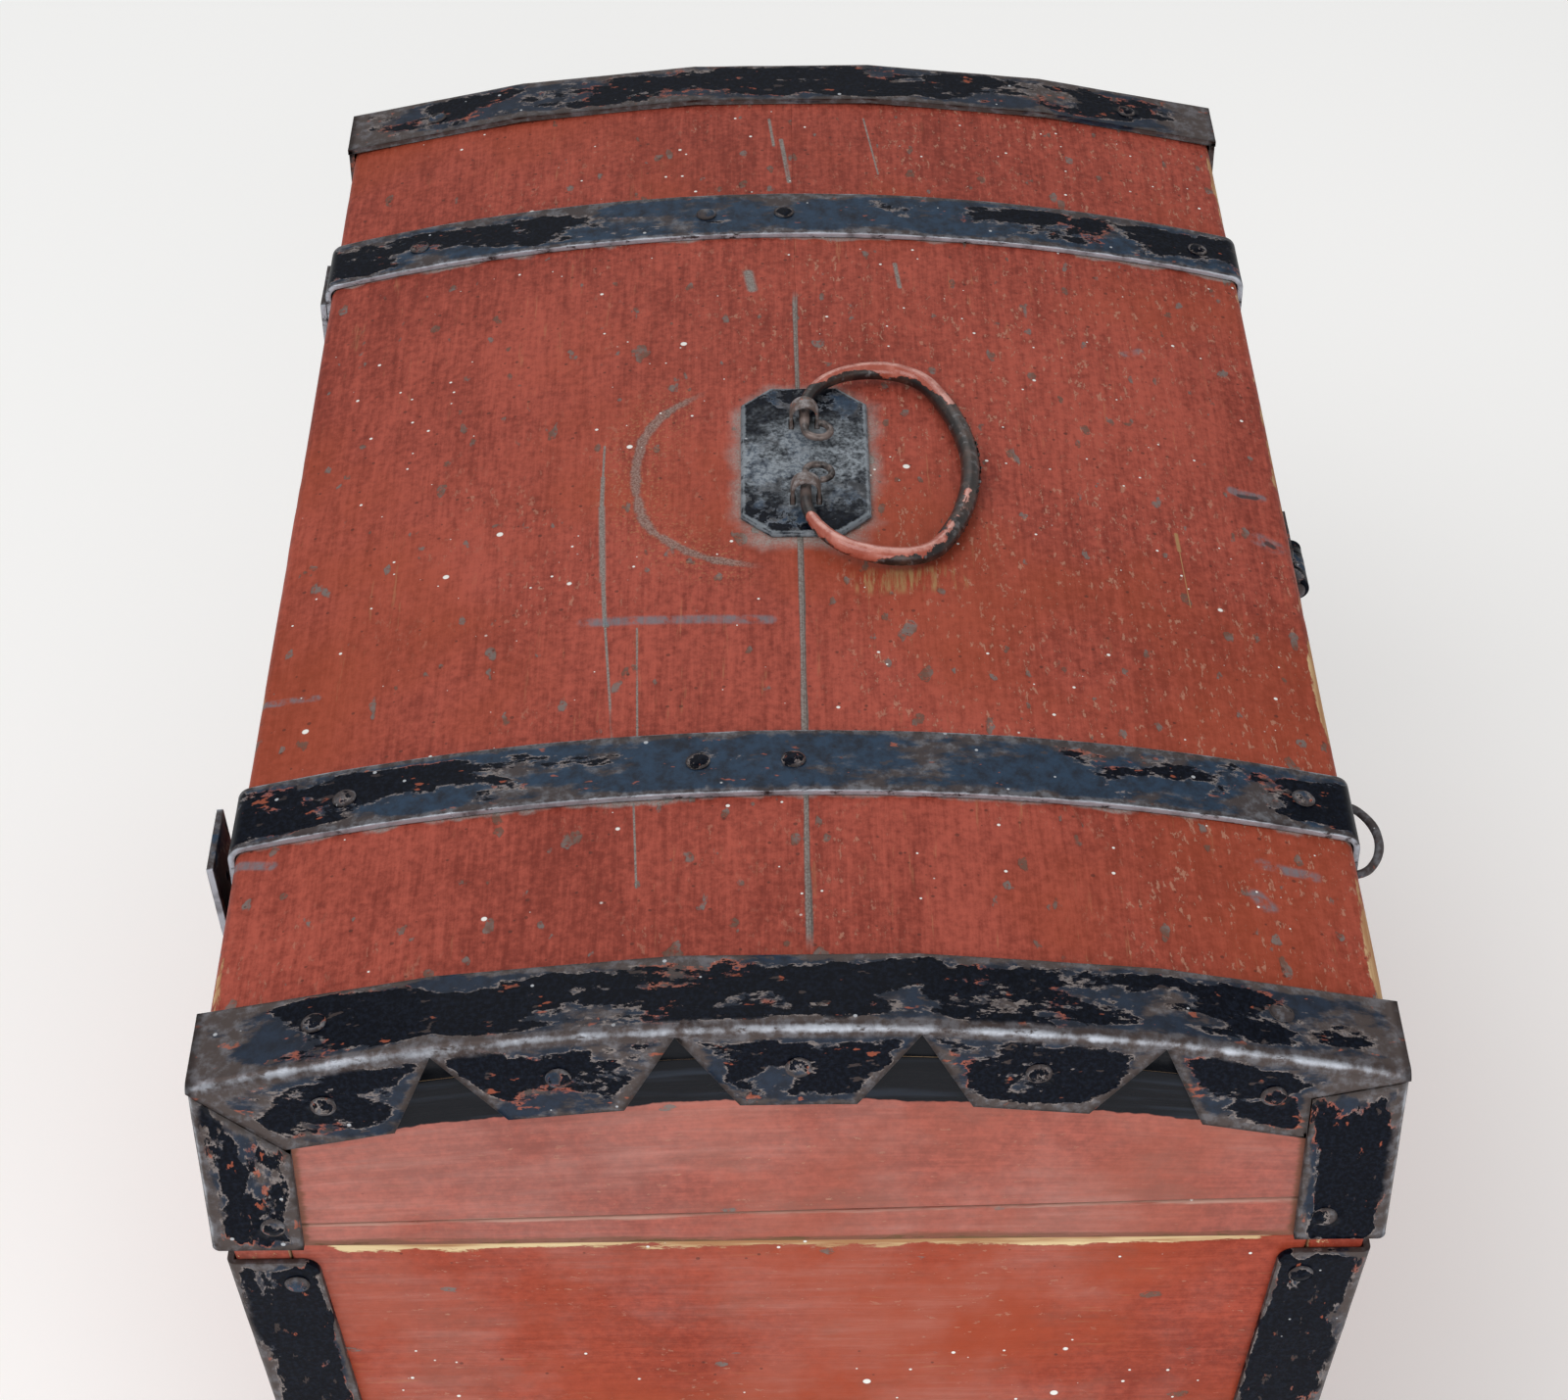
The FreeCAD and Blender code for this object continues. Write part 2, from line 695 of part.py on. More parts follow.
def nail_bottom():
    x_edge = half_length(0) - bottom_nail_from_edge
    y_edge = half_depth(0) - bottom_nail_from_edge
    down = Vector(0, 0, -1)
    for share in bottom_nail_places_long:
        for face in faces.values():
            seat = Vector(share * x_edge, face * y_edge, bottom_nail_sink)
            bottom_nails.drive(seat, down, bottom_nail_length)
    for share in bottom_nail_places_short:
        for side in sides.values():
            seat = Vector(side * x_edge, share * y_edge, bottom_nail_sink)
            bottom_nails.drive(seat, down, bottom_nail_length)


# Hinges on the back, one behind each strap

knuckle_radius = hinge_pin_radius + hinge_running + knuckle_wall
hinge_y = lid_y + iron + hinge_clear + knuckle_radius
hinge_z = rim + lid_gap / 2
leaf_leans = {"left": leaf_lean_left, "right": leaf_lean_right}


def hinge_spans(side):
    """X limits of the strap and of the leaf's knuckle between the strap's two."""
    low = side * strap_x - strap_width / 2
    high = side * strap_x + strap_width / 2
    return low, high, low + lower_knuckle + hinge_clear, high - lower_knuckle - hinge_clear


def hinge_bore(side):
    low, high, _, _ = hinge_spans(side)
    return rod_x(hinge_pin_radius + hinge_running, low - iron, high + iron, hinge_y, hinge_z)


def hinge_leaf(side, lean):
    low, high, leaf_low, leaf_high = hinge_spans(side)
    plate_y = lid_y + iron
    sweep = knuckle_radius + hinge_clear
    plate = block((low, plate_y, hinge_z + sweep), (high, plate_y + iron, eave - leaf_drop))
    tongue = block((leaf_low, plate_y, hinge_z), (leaf_high, plate_y + iron, hinge_z + sweep))
    leaf = plate.fuse(tongue).fuse(rod_x(knuckle_radius, leaf_low, leaf_high, hinge_y, hinge_z))
    leaf = turned(leaf.removeSplitter().cut(hinge_bore(side)), -lean, Vector(0, hinge_y, hinge_z))
    return leaf


def nail_hinge_leaf(side, lean):
    """The sprung leaf has kept only its lower nail; the upper hole is empty."""
    centre = Vector(0, hinge_y, hinge_z)
    outward = Vector(0, math.cos(math.radians(lean)), -math.sin(math.radians(lean)))
    holes = NailGroup()
    for share in leaf_nail_places:
        z = hinge_z + share * (eave - leaf_drop - hinge_z)
        upright = Vector(side * strap_x, lid_y + 2 * iron, z) - centre
        offset = Rotation(Vector(1, 0, 0), -lean).multVec(upright)
        if lean > 0 and share == max(leaf_nail_places):
            holes.drive(centre + offset, outward, 2 * iron)
        else:
            lid_fitting_nails.drive(centre + offset, outward, 2 * iron + nail_in_wood)
    return holes


def hinge_strap(side):
    low, high, leaf_low, leaf_high = hinge_spans(side)
    joggle_z = rim - hinge_joggle
    inner_y = hinge_y - knuckle_radius
    outline = [
        (half_depth(hinge_strap_foot), hinge_strap_foot),
        (half_depth(joggle_z), joggle_z),
        (inner_y, hinge_z),
        (inner_y + iron, hinge_z),
        (half_depth(joggle_z - iron / 2) + iron, joggle_z - iron / 2),
        (half_depth(hinge_strap_foot) + iron, hinge_strap_foot),
    ]
    strap = prism_x(outline, low, high)
    for x_low, x_high in ((low, low + lower_knuckle), (high - lower_knuckle, high)):
        strap = strap.fuse(rod_x(knuckle_radius, x_low, x_high, hinge_y, hinge_z))
    sweep = knuckle_radius + hinge_clear
    room = rod_x(sweep, low + lower_knuckle, high - lower_knuckle, hinge_y, hinge_z)
    return strap.removeSplitter().cut(room).cut(hinge_bore(side))


def hinge_pin(side):
    low, high, _, _ = hinge_spans(side)
    pin = rod_x(hinge_pin_radius, low, high, hinge_y, hinge_z)
    for x_low, x_high in ((low - pin_head, low), (high, high + pin_head)):
        pin = pin.fuse(rod_x(hinge_pin_radius + pin_head_over, x_low, x_high, hinge_y, hinge_z))
    return pin.removeSplitter()


# Hasp on the front, at mid length

hasp_knuckle = hasp_pin_radius + hinge_running + hasp_knuckle_wall
hasp_y = -lid_y - hinge_clear - hasp_knuckle
hasp_z = eave - hasp_drop
hasp_pivot = Vector(0, hasp_y, hasp_z)
hasp_half = hasp_width / 2
hasp_inner = hasp_half - hasp_side_knuckle
staple_z = rim - staple_drop
slot_top = hasp_z - staple_z - staple_pitch / 2 - staple_wire_radius - slot_end_clear
slot_foot = hasp_z - staple_z + staple_pitch / 2 + staple_wire_radius + slot_end_clear
slot_half = staple_wire_radius + slot_side_clear


def hasp_leaf():
    sweep = hasp_knuckle + hinge_clear
    y_face = -lid_y - hasp_leaf_thickness
    plate = block((-hasp_half, y_face, hasp_z), (hasp_half, -lid_y, eave - hasp_leaf_top))
    leaf = plate.cut(rod_x(sweep, -hasp_inner, hasp_inner, hasp_y, hasp_z))
    for x_low, x_high in ((-hasp_half, -hasp_inner), (hasp_inner, hasp_half)):
        leaf = leaf.fuse(rod_x(hasp_knuckle, x_low, x_high, hasp_y, hasp_z))
    bore = rod_x(hasp_pin_radius + hinge_running, -hasp_width, hasp_width, hasp_y, hasp_z)
    return leaf.removeSplitter().cut(bore)


def hasp():
    """Plate with a round foot and a slot for the staple, drawn hanging plumb and then leaned out."""
    inner = hasp_inner - hinge_clear
    sweep = hasp_knuckle + hinge_clear
    y_low = hasp_y - hasp_plate / 2
    foot_centre = Vector(0, y_low, hasp_z - slot_foot - hasp_below_slot + hasp_half)
    neck = block((-inner, y_low, hasp_z - sweep), (inner, y_low + hasp_plate, hasp_z))
    plate = block((-hasp_half, y_low, foot_centre.z), (hasp_half, y_low + hasp_plate, hasp_z - sweep))
    foot = Part.makeCylinder(hasp_half, hasp_plate, foot_centre, Vector(0, 1, 0))
    body = plate.fuse([neck, foot, rod_x(hasp_knuckle, -inner, inner, hasp_y, hasp_z)])
    slot = block((-slot_half, y_low - iron, hasp_z - slot_foot + slot_half),
                 (slot_half, y_low + hasp_plate + iron, hasp_z - slot_top - slot_half))
    for z in (hasp_z - slot_foot + slot_half, hasp_z - slot_top - slot_half):
        slot = slot.fuse(Part.makeCylinder(slot_half, hasp_plate + 2 * iron, Vector(0, y_low - iron, z),
                                           Vector(0, 1, 0)))
    bore = rod_x(hasp_pin_radius + hinge_running, -hasp_width, hasp_width, hasp_y, hasp_z)
    return turned(body.removeSplitter().cut(slot).cut(bore), -hasp_lean, hasp_pivot)


def hasp_pin():
    pin = rod_x(hasp_pin_radius, -hasp_half, hasp_half, hasp_y, hasp_z)
    for x_low, x_high in ((-hasp_half - pin_head, -hasp_half), (hasp_half, hasp_half + pin_head)):
        pin = pin.fuse(rod_x(hasp_pin_radius + pin_head_over, x_low, x_high, hasp_y, hasp_z))
    return pin.removeSplitter()


def nail_hasp_leaf():
    z = (hasp_z + hasp_knuckle + eave - hasp_leaf_top) / 2
    for side in sides.values():
        seat = Vector(side * hasp_half / 2, -lid_y - hasp_leaf_thickness, z)
        lid_fitting_nails.drive(seat, Vector(0, -1, 0), hasp_leaf_thickness + nail_in_wood)


def hasp_staple():
    half = staple_pitch / 2
    face_y = -half_depth(staple_z)
    bow_y = face_y - staple_reach + staple_wire_radius + half
    in_y = face_y + staple_leg

    def point(y, up):
        return Vector(0, y, staple_z + up)
    path = [
        line(point(in_y, -half), point(bow_y, -half)),
        arc(point(bow_y, -half), point(bow_y - half, 0), point(bow_y, half)),
        line(point(bow_y, half), point(in_y, half)),
    ]
    return swept_bar(path, staple_wire_radius)


# All pieces, by node name

nail_lid_irons()
nail_box_irons()
nail_bottom()
nail_hasp_leaf()

nodes = {}
eyes = {name: handle_eye(eye_middle + side * eye_spacing / 2) for name, side in sides.items()}
loop = front_loop()
staple = hasp_staple()
leaf_holes = {name: nail_hinge_leaf(side, leaf_leans[name]) for name, side in sides.items()}

lid_nails = (lid_strap_nails, lid_end_nails, lid_corner_nails, lid_fitting_nails)
lid_boards = {
    "lid_top_front_board": lid_top_board(-far, seam_y - seam_gap / 2),
    "lid_top_back_board": lid_top_board(seam_y + seam_gap / 2, far),
    "lid_front_rail": lid_rail(-1),
    "lid_back_rail": lid_rail(1),
}
for name, side in sides.items():
    arch, strip = lid_end(side)
    lid_boards["lid_" + name + "_end_board"] = arch
    lid_boards["lid_" + name + "_end_strip"] = strip
for name, board in lid_boards.items():
    nodes[name] = pierced(board, *lid_nails, *eyes.values(), loop)

for name, side in sides.items():
    nodes["lid_strap_" + name] = pierced(lid_strap(side), *lid_nails)
    nodes["lid_end_iron_" + name] = pierced(end_iron(side), *lid_nails)
    leaf = hinge_leaf(side, leaf_leans[name])
    nodes["hinge_leaf_" + name] = pierced(leaf, lid_fitting_nails, leaf_holes[name])
    nodes["handle_eye_" + name] = eyes[name]
    for face_name, face in faces.items():
        iron_shape = lid_corner_iron(side, face)
        nodes["lid_corner_iron_" + face_name + "_" + name] = pierced(iron_shape, lid_corner_nails)
nodes["handle_plate"] = pierced(handle_plate(), *eyes.values())
nodes["handle_bail"] = handle_bail()
nodes["front_loop"] = loop
nodes["hasp_leaf"] = pierced(hasp_leaf(), lid_fitting_nails)
nodes["hasp_pin"] = hasp_pin()
nodes["hasp"] = hasp()

box_nails = (box_corner_nails, box_strap_nails, bottom_nails)
box_boards = {
    "box_front_board": box_side_board(-1),
    "box_back_board": box_side_board(1),
    "box_left_end_board": box_end_board(-1),
    "box_right_end_board": box_end_board(1),
}
for name, board in box_boards.items():
    nodes[name] = pierced(board, *box_nails, staple)
nodes["box_bottom_board"] = pierced(box_bottom(), bottom_nails, *bottom_nail_recesses())
for name, side in sides.items():
    nodes["box_front_strap_" + name] = pierced(box_front_strap(side), box_strap_nails)
    nodes["hinge_strap_" + name] = pierced(hinge_strap(side), box_strap_nails)
    nodes["hinge_pin_" + name] = hinge_pin(side)
    for face_name, face in faces.items():
        iron_shape = box_corner_iron(side, face)
        nodes["box_corner_iron_" + face_name + "_" + name] = pierced(iron_shape, box_corner_nails)
nodes["hasp_staple"] = staple

nodes["lid_strap_nails"] = lid_strap_nails.solid()
nodes["lid_end_nails"] = lid_end_nails.solid()
nodes["lid_corner_nails"] = lid_corner_nails.solid()
nodes["lid_fitting_nails"] = lid_fitting_nails.solid()
nodes["box_corner_nails"] = box_corner_nails.solid()
nodes["box_strap_nails"] = box_strap_nails.solid()
nodes["box_bottom_nails"] = bottom_nails.solid()

os.makedirs("parts", exist_ok=True)
for name, shape in nodes.items():
    shape.exportStep("parts/" + name + ".step")
bail_swing = 180 - bail_lean(-1) - bail_lean(1)
print("lid hinge axis", round(hinge_y, 3), round(hinge_z, 3))
print("bail axis", round(pivot.y, 3), round(pivot.z, 3), "swing", round(bail_swing, 2))
print("hasp axis", round(hasp_y, 3), round(hasp_z, 3))
print(len(nodes), "nodes")
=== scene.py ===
import json
import math
from functools import reduce
import bmesh
import bpy
from mathutils import Matrix, Vector, noise
from mathutils.kdtree import KDTree

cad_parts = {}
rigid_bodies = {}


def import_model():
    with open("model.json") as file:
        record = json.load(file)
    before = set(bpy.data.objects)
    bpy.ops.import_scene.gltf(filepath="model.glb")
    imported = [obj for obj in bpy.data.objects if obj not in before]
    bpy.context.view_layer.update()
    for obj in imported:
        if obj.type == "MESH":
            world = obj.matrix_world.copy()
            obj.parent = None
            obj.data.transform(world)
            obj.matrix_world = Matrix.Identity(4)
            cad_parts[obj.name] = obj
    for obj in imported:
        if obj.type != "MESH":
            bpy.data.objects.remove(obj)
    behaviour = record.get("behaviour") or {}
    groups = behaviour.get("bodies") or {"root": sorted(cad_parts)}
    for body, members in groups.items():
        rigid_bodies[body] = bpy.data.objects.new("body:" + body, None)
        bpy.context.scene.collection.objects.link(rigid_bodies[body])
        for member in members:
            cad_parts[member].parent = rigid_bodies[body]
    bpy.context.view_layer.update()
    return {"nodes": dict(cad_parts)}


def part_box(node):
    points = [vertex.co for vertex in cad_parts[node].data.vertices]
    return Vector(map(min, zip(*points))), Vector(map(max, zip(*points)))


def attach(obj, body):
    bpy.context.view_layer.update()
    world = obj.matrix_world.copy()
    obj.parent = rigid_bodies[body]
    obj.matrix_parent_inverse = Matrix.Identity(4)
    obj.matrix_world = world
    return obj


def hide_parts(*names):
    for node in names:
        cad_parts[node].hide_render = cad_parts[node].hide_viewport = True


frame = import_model()

# sizes read off the frame, in metres
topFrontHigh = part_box("lid_top_front_board")[1]
topBackLow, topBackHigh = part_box("lid_top_back_board")
railLow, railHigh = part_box("lid_front_rail")
lidX = topFrontHigh.x
lidY = topBackHigh.y
lidLow = railLow.z
lidWall = railHigh.y - railLow.y
crown = topFrontHigh.z
cornerLow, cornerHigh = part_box("lid_corner_iron_front_left")
cornerLeg = cornerHigh.x - cornerLow.x
cornerGap = 0.0003  # from a corner iron up to the eave
eave = cornerHigh.z + cornerGap
domeRadius = (lidY ** 2 + (crown - eave) ** 2) / (2 * (crown - eave))
domeAxis = crown - domeRadius
topThick = 0.010
seamY = (topFrontHigh.y + topBackLow.y) / 2
rimLow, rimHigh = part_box("box_front_board")
rim = rimHigh.z
boxX = rimHigh.x
boxY = -rimLow.y
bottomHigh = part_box("box_bottom_board")[1]
taper = (boxX - bottomHigh.x) / (rim - bottomHigh.z)
boxWall = 0.015
strapLow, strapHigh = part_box("lid_strap_right")
strapX = (strapLow.x + strapHigh.x) / 2
strapHalf = (strapHigh.x - strapLow.x) / 2
iron = strapHigh.z - crown
plateLow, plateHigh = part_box("handle_plate")
print("frame loaded, lid", round(lidX * 2, 3), "by", round(lidY * 2, 3))


# shader helpers
def feed(socket, value):
    if isinstance(value, bpy.types.NodeSocket):
        socket.id_data.links.new(value, socket)
    else:
        socket.default_value = value


def newFinish(name):
    mat = bpy.data.materials.new(name)
    mat.use_nodes = True
    nodes = mat.node_tree.nodes
    nodes.clear()
    out = nodes.new("ShaderNodeOutputMaterial")
    shader = nodes.new("ShaderNodeBsdfPrincipled")
    feed(out.inputs[0], shader.outputs[0])
    return mat, shader


def placeAt(shader):
    return shader.id_data.nodes.new("ShaderNodeTexCoord").outputs["Object"]


def attributeAt(shader, name, output="Fac"):
    node = shader.id_data.nodes.new("ShaderNodeAttribute")
    node.attribute_name = name
    return node.outputs[output]


def addNode(kind, inputs, **settings):
    # in the node tree that its inputs come from
    tree = next(value.id_data for value in inputs.values() if isinstance(value, bpy.types.NodeSocket))
    node = tree.nodes.new("ShaderNode" + kind)
    for key, value in settings.items():
        setattr(node, key, value)
    for key, value in inputs.items():
        feed(node.inputs[key], value)
    return node.outputs


def calc(op, a, b=0.0, clamp=False):
    return addNode("Math", {0: a, 1: b}, operation=op, use_clamp=clamp)[0]


def times(a, b, clamp=False):
    return calc("MULTIPLY", a, b, clamp)


def plus(a, b, clamp=False):
    return calc("ADD", a, b, clamp)


def minus(a, b):
    return calc("SUBTRACT", a, b)


def absOf(a):
    return calc("ABSOLUTE", a)


def allOf(*masks):
    return reduce(times, masks)


def anyOf(*masks):
    return reduce(lambda a, b: calc("MAXIMUM", a, b), masks)


def weighted(*terms):
    return reduce(plus, (times(*term) for term in terms))


def lifted(value, share, base):
    return plus(times(value, share), base)


def swayed(value, amount, middle=0.5):
    # swings to both sides of zero
    return times(minus(value, middle), amount)


def vectorCalc(op, a, b=(0, 0, 0), output="Vector"):
    return addNode("VectorMath", {0: a, 1: b}, operation=op)[output]


def drawnOut(grain, share):
    # a small share draws a pattern out along the grain
    return vectorCalc("MULTIPLY", grain, (share, 1, 1))


def moved(vector, by):
    return vectorCalc("ADD", vector, by)


def between(value, low, high):
    inputs = {"Value": value, "From Min": low, "From Max": high}
    return addNode("MapRange", inputs, interpolation_type="SMOOTHSTEP")["Result"]


def within(reach, distance, soft):
    return between(minus(reach, distance), 0.0, soft)


def noiseAt(vector, scale, detail=2.0, rough=0.5, warp=0.0):
    inputs = {"Vector": vector, "Scale": scale, "Detail": detail, "Roughness": rough, "Distortion": warp}
    return addNode("TexNoise", inputs)["Fac"]


def patchAt(vector, patch):
    # a patch is a noise (scale, detail, roughness) and the span in which it comes in
    settings, span = patch
    return between(noiseAt(vector, *settings), *span)


def mixTone(factor, a, b):
    return addNode("Mix", {0: factor, 6: a, 7: b}, data_type="RGBA")[2]


def mixValue(factor, a, b):
    return addNode("Mix", {0: factor, 2: a, 3: b})[0]


def tint(colour, tone, mask, share):
    return mixTone(times(mask, share), colour, tone)


def axesOf(vector):
    return addNode("SeparateXYZ", {0: vector})


def reliefOf(shader, height, strength, depth):
    bump = addNode("Bump", {"Strength": strength, "Distance": depth, "Height": height})
    feed(shader.inputs["Normal"], bump[0])


dot = {"least": 0.35, "soft": 0.3, "chanceSoft": 0.01, "wobble": 3}


def dotsAt(vector, scale, size, share, ragged=0.0):
    # round or ragged spots in some of the cells, larger in some than in others
    cell = addNode("TexVoronoi", {"Vector": vector, "Scale": scale})
    chance, extent = addNode("SeparateColor", {0: cell["Color"]})[:2]
    distance = cell["Distance"]
    if ragged:
        distance = plus(distance, swayed(noiseAt(vector, scale * dot["wobble"]), ragged))
    reach = times(plus(extent, dot["least"]), size)
    spot = within(reach, distance, size * dot["soft"])
    return allOf(spot, between(chance, 1.0 - share, 1.0 - share + dot["chanceSoft"]))


def strokeAt(place, start, end, width):
    # 1 near the line from start to end, seen from above
    flat = vectorCalc("MULTIPLY", place, (1, 1, 0))
    run = Vector((end[0] - start[0], end[1] - start[1], 0))
    offset = vectorCalc("SUBTRACT", flat, (start[0], start[1], 0))
    share = vectorCalc("DOT_PRODUCT", offset, run / run.length_squared, "Value")
    share = times(share, 1.0, clamp=True)
    nearest = addNode("VectorMath", {0: run, "Scale": share}, operation="SCALE")[0]
    distance = vectorCalc("DISTANCE", offset, nearest, "Value")
    return within(width, distance, width * 0.6)


redBoard = {
    "dark": (0.185, 0.029, 0.018, 1), "light": (0.41, 0.084, 0.055, 1), "warm": (0.315, 0.056, 0.020, 1),
    "tan": (0.40, 0.20, 0.095, 1), "bareWood": (0.62, 0.44, 0.24, 1), "slate": (0.155, 0.155, 0.145, 1),
    "white": (0.82, 0.81, 0.77, 1), "grime": (0.060, 0.020, 0.015, 1), "veil": (0.50, 0.27, 0.235, 1),
    "fleck": (0.46, 0.235, 0.160, 1), "dirt": (0.120, 0.075, 0.055, 1), "smudge": (0.19, 0.065, 0.045, 1),
    "gloss": 0.48, "warmth": 0.55, "chips": 1.0, "fleckFrom": 0.594, "frontMore": 0.0, "drops": 0.55,
    "edgeWear": 0.55, "scuff": 0.0, "veiled": 0.0, "specular": 0.14, "relief": (0.5, 0.0004),
    # how far each pattern is drawn out along the grain
    "streak": 0.07, "drawn": 0.55, "tickRun": 0.45, "torn": 0.22,
    "fine": (900, 3, 0.65), "ribs": (300, 3, 0.6), "cloud": (11, 5, 0.6), "mottle": (380, 5, 0.7),
    "toneSpan": (0.77, 1.23), "warmPatch": ((7, 4, 0.55), (0.48, 0.66)),
    "rubLines": ((420, 4, 0.7), (0.60, 0.70)), "rubPatch": ((21, 3), (0.46, 0.62)),
    "paleLines": ((190, 6, 0.75), (0.42, 0.70)), "palePatch": ((13, 5, 0.62), (0.42, 0.60)),
    "smudgePatch": ((48, 6, 0.72), (0.52, 0.68)), "crowd": (18, 3), "crowdSpan": (0.42, 0.62),
    "ticks": (560, 5, 0.66), "chipGrit": ((900, 2), (0.26, 0.50)), "bruisePatch": ((150, 3), (0.40, 0.60)),
    "edgeNoise": (240, 6, 0.72), "ribSpan": (0.35, 0.65),
    # spots by scale and size
    "chipDots": (70, 0.115), "pitDots": (125, 0.14), "speckDots": (260, 0.14), "dropDots": (58, 0.055),
    "sprayDots": (170, 0.085),
}


def redPaint(name, marks=None, **changes):
    look = {**redBoard, **changes}
    mat, shader = newFinish(name)
    place = placeAt(shader)
    grain = attributeAt(shader, "grain", "Vector")
    wear = attributeAt(shader, "wear")
    streak = drawnOut(grain, look["streak"])
    drawn = drawnOut(grain, look["drawn"])
    fine = noiseAt(streak, *look["fine"])
    ribs = noiseAt(streak, *look["ribs"])
    cloud = noiseAt(place, *look["cloud"])
    mottle = noiseAt(place, *look["mottle"])
    tone = weighted((fine, 0.40), (ribs, 0.30), (cloud, 0.55), (mottle, 0.75))
    colour = mixTone(between(tone, *look["toneSpan"]), look["dark"], look["light"])
    warm = patchAt(moved(place, (0.7, 0.2, 0.4)), look["warmPatch"])
    colour = tint(colour, look["warm"], warm, look["warmth"])
    # thin rubbed lines along the grain
    rubbed = patchAt(streak, look["rubLines"])
    rubbed = allOf(rubbed, patchAt(place, look["rubPatch"]))
    colour = tint(colour, look["tan"], rubbed, 0.35)
    if look["scuff"]:
        pale = lifted(patchAt(streak, look["paleLines"]), 0.6, 0.4)
        pale = allOf(pale, patchAt(place, look["palePatch"]))
        colour = tint(colour, look["veil"], pale, look["scuff"])
        smudge = patchAt(drawn, look["smudgePatch"])
        colour = tint(colour, look["smudge"], smudge, look["scuff"])
    if look["veiled"]:
        colour = mixTone(look["veiled"], colour, look["veil"])
    # small chips: tan flecks in clusters, grey bruises, dark pits
    y = axesOf(place)[1]
    crowd = minus(noiseAt(place, *look["crowd"]), times(y, look["frontMore"]))
    crowd = between(crowd, *look["crowdSpan"])
    ticks = noiseAt(drawnOut(grain, look["tickRun"]), *look["ticks"])
    flecks = allOf(between(ticks, look["fleckFrom"], look["fleckFrom"] + 0.04), crowd)
    colour = tint(colour, look["fleck"], flecks, 0.6)
    chips = dotsAt(drawn, *look["chipDots"], look["chips"] * 0.85, 0.75)
    pits = dotsAt(moved(drawn, (0.5, 0.3, 0.2)), *look["pitDots"], look["chips"], 0.6)
    chips = allOf(anyOf(chips, pits), patchAt(place, look["chipGrit"]))
    bruise = mixTone(patchAt(place, look["bruisePatch"]), look["slate"], look["dirt"])
    colour = tint(colour, bruise, chips, 0.8)
    specks = dotsAt(moved(place, (0.1, 0.5, 0.9)), *look["speckDots"], look["chips"] * 0.6)
    colour = tint(colour, look["grime"], specks, 0.6)
    drops = dotsAt(place, *look["dropDots"], look["drops"])
    spray = dotsAt(moved(place, (0.3, 0.7, 0.1)), *look["sprayDots"], look["drops"])
    drops = anyOf(drops, spray)
    # bare wood with a torn rim along worn edges
    ragged = noiseAt(drawnOut(grain, look["torn"]), *look["edgeNoise"])
    worn = plus(wear, swayed(ragged, 1.5))
    bare = between(worn, look["edgeWear"], look["edgeWear"] + 0.10)
    wood = mixTone(between(ribs, *look["ribSpan"]), look["tan"], look["bareWood"])
    colour = mixTone(bare, colour, wood)
    height = weighted((fine, 0.4), (mottle, 0.6))
    lost = anyOf(chips, times(bare, 0.6), times(flecks, 0.5))
    height = minus(height, lost)
    rough = lifted(mottle, 0.2, look["gloss"])
    if marks:
        colour, height = marks(place, grain, colour, height)
    colour = mixTone(drops, colour, look["white"])
    height = plus(height, drops)
    feed(shader.inputs["Base Color"], colour)
    rough = plus(rough, times(bare, 0.2), clamp=True)
    feed(shader.inputs["Roughness"], rough)
    shader.inputs["Specular IOR Level"].default_value = look["specular"]
    reliefOf(shader, height, *look["relief"])
    return mat


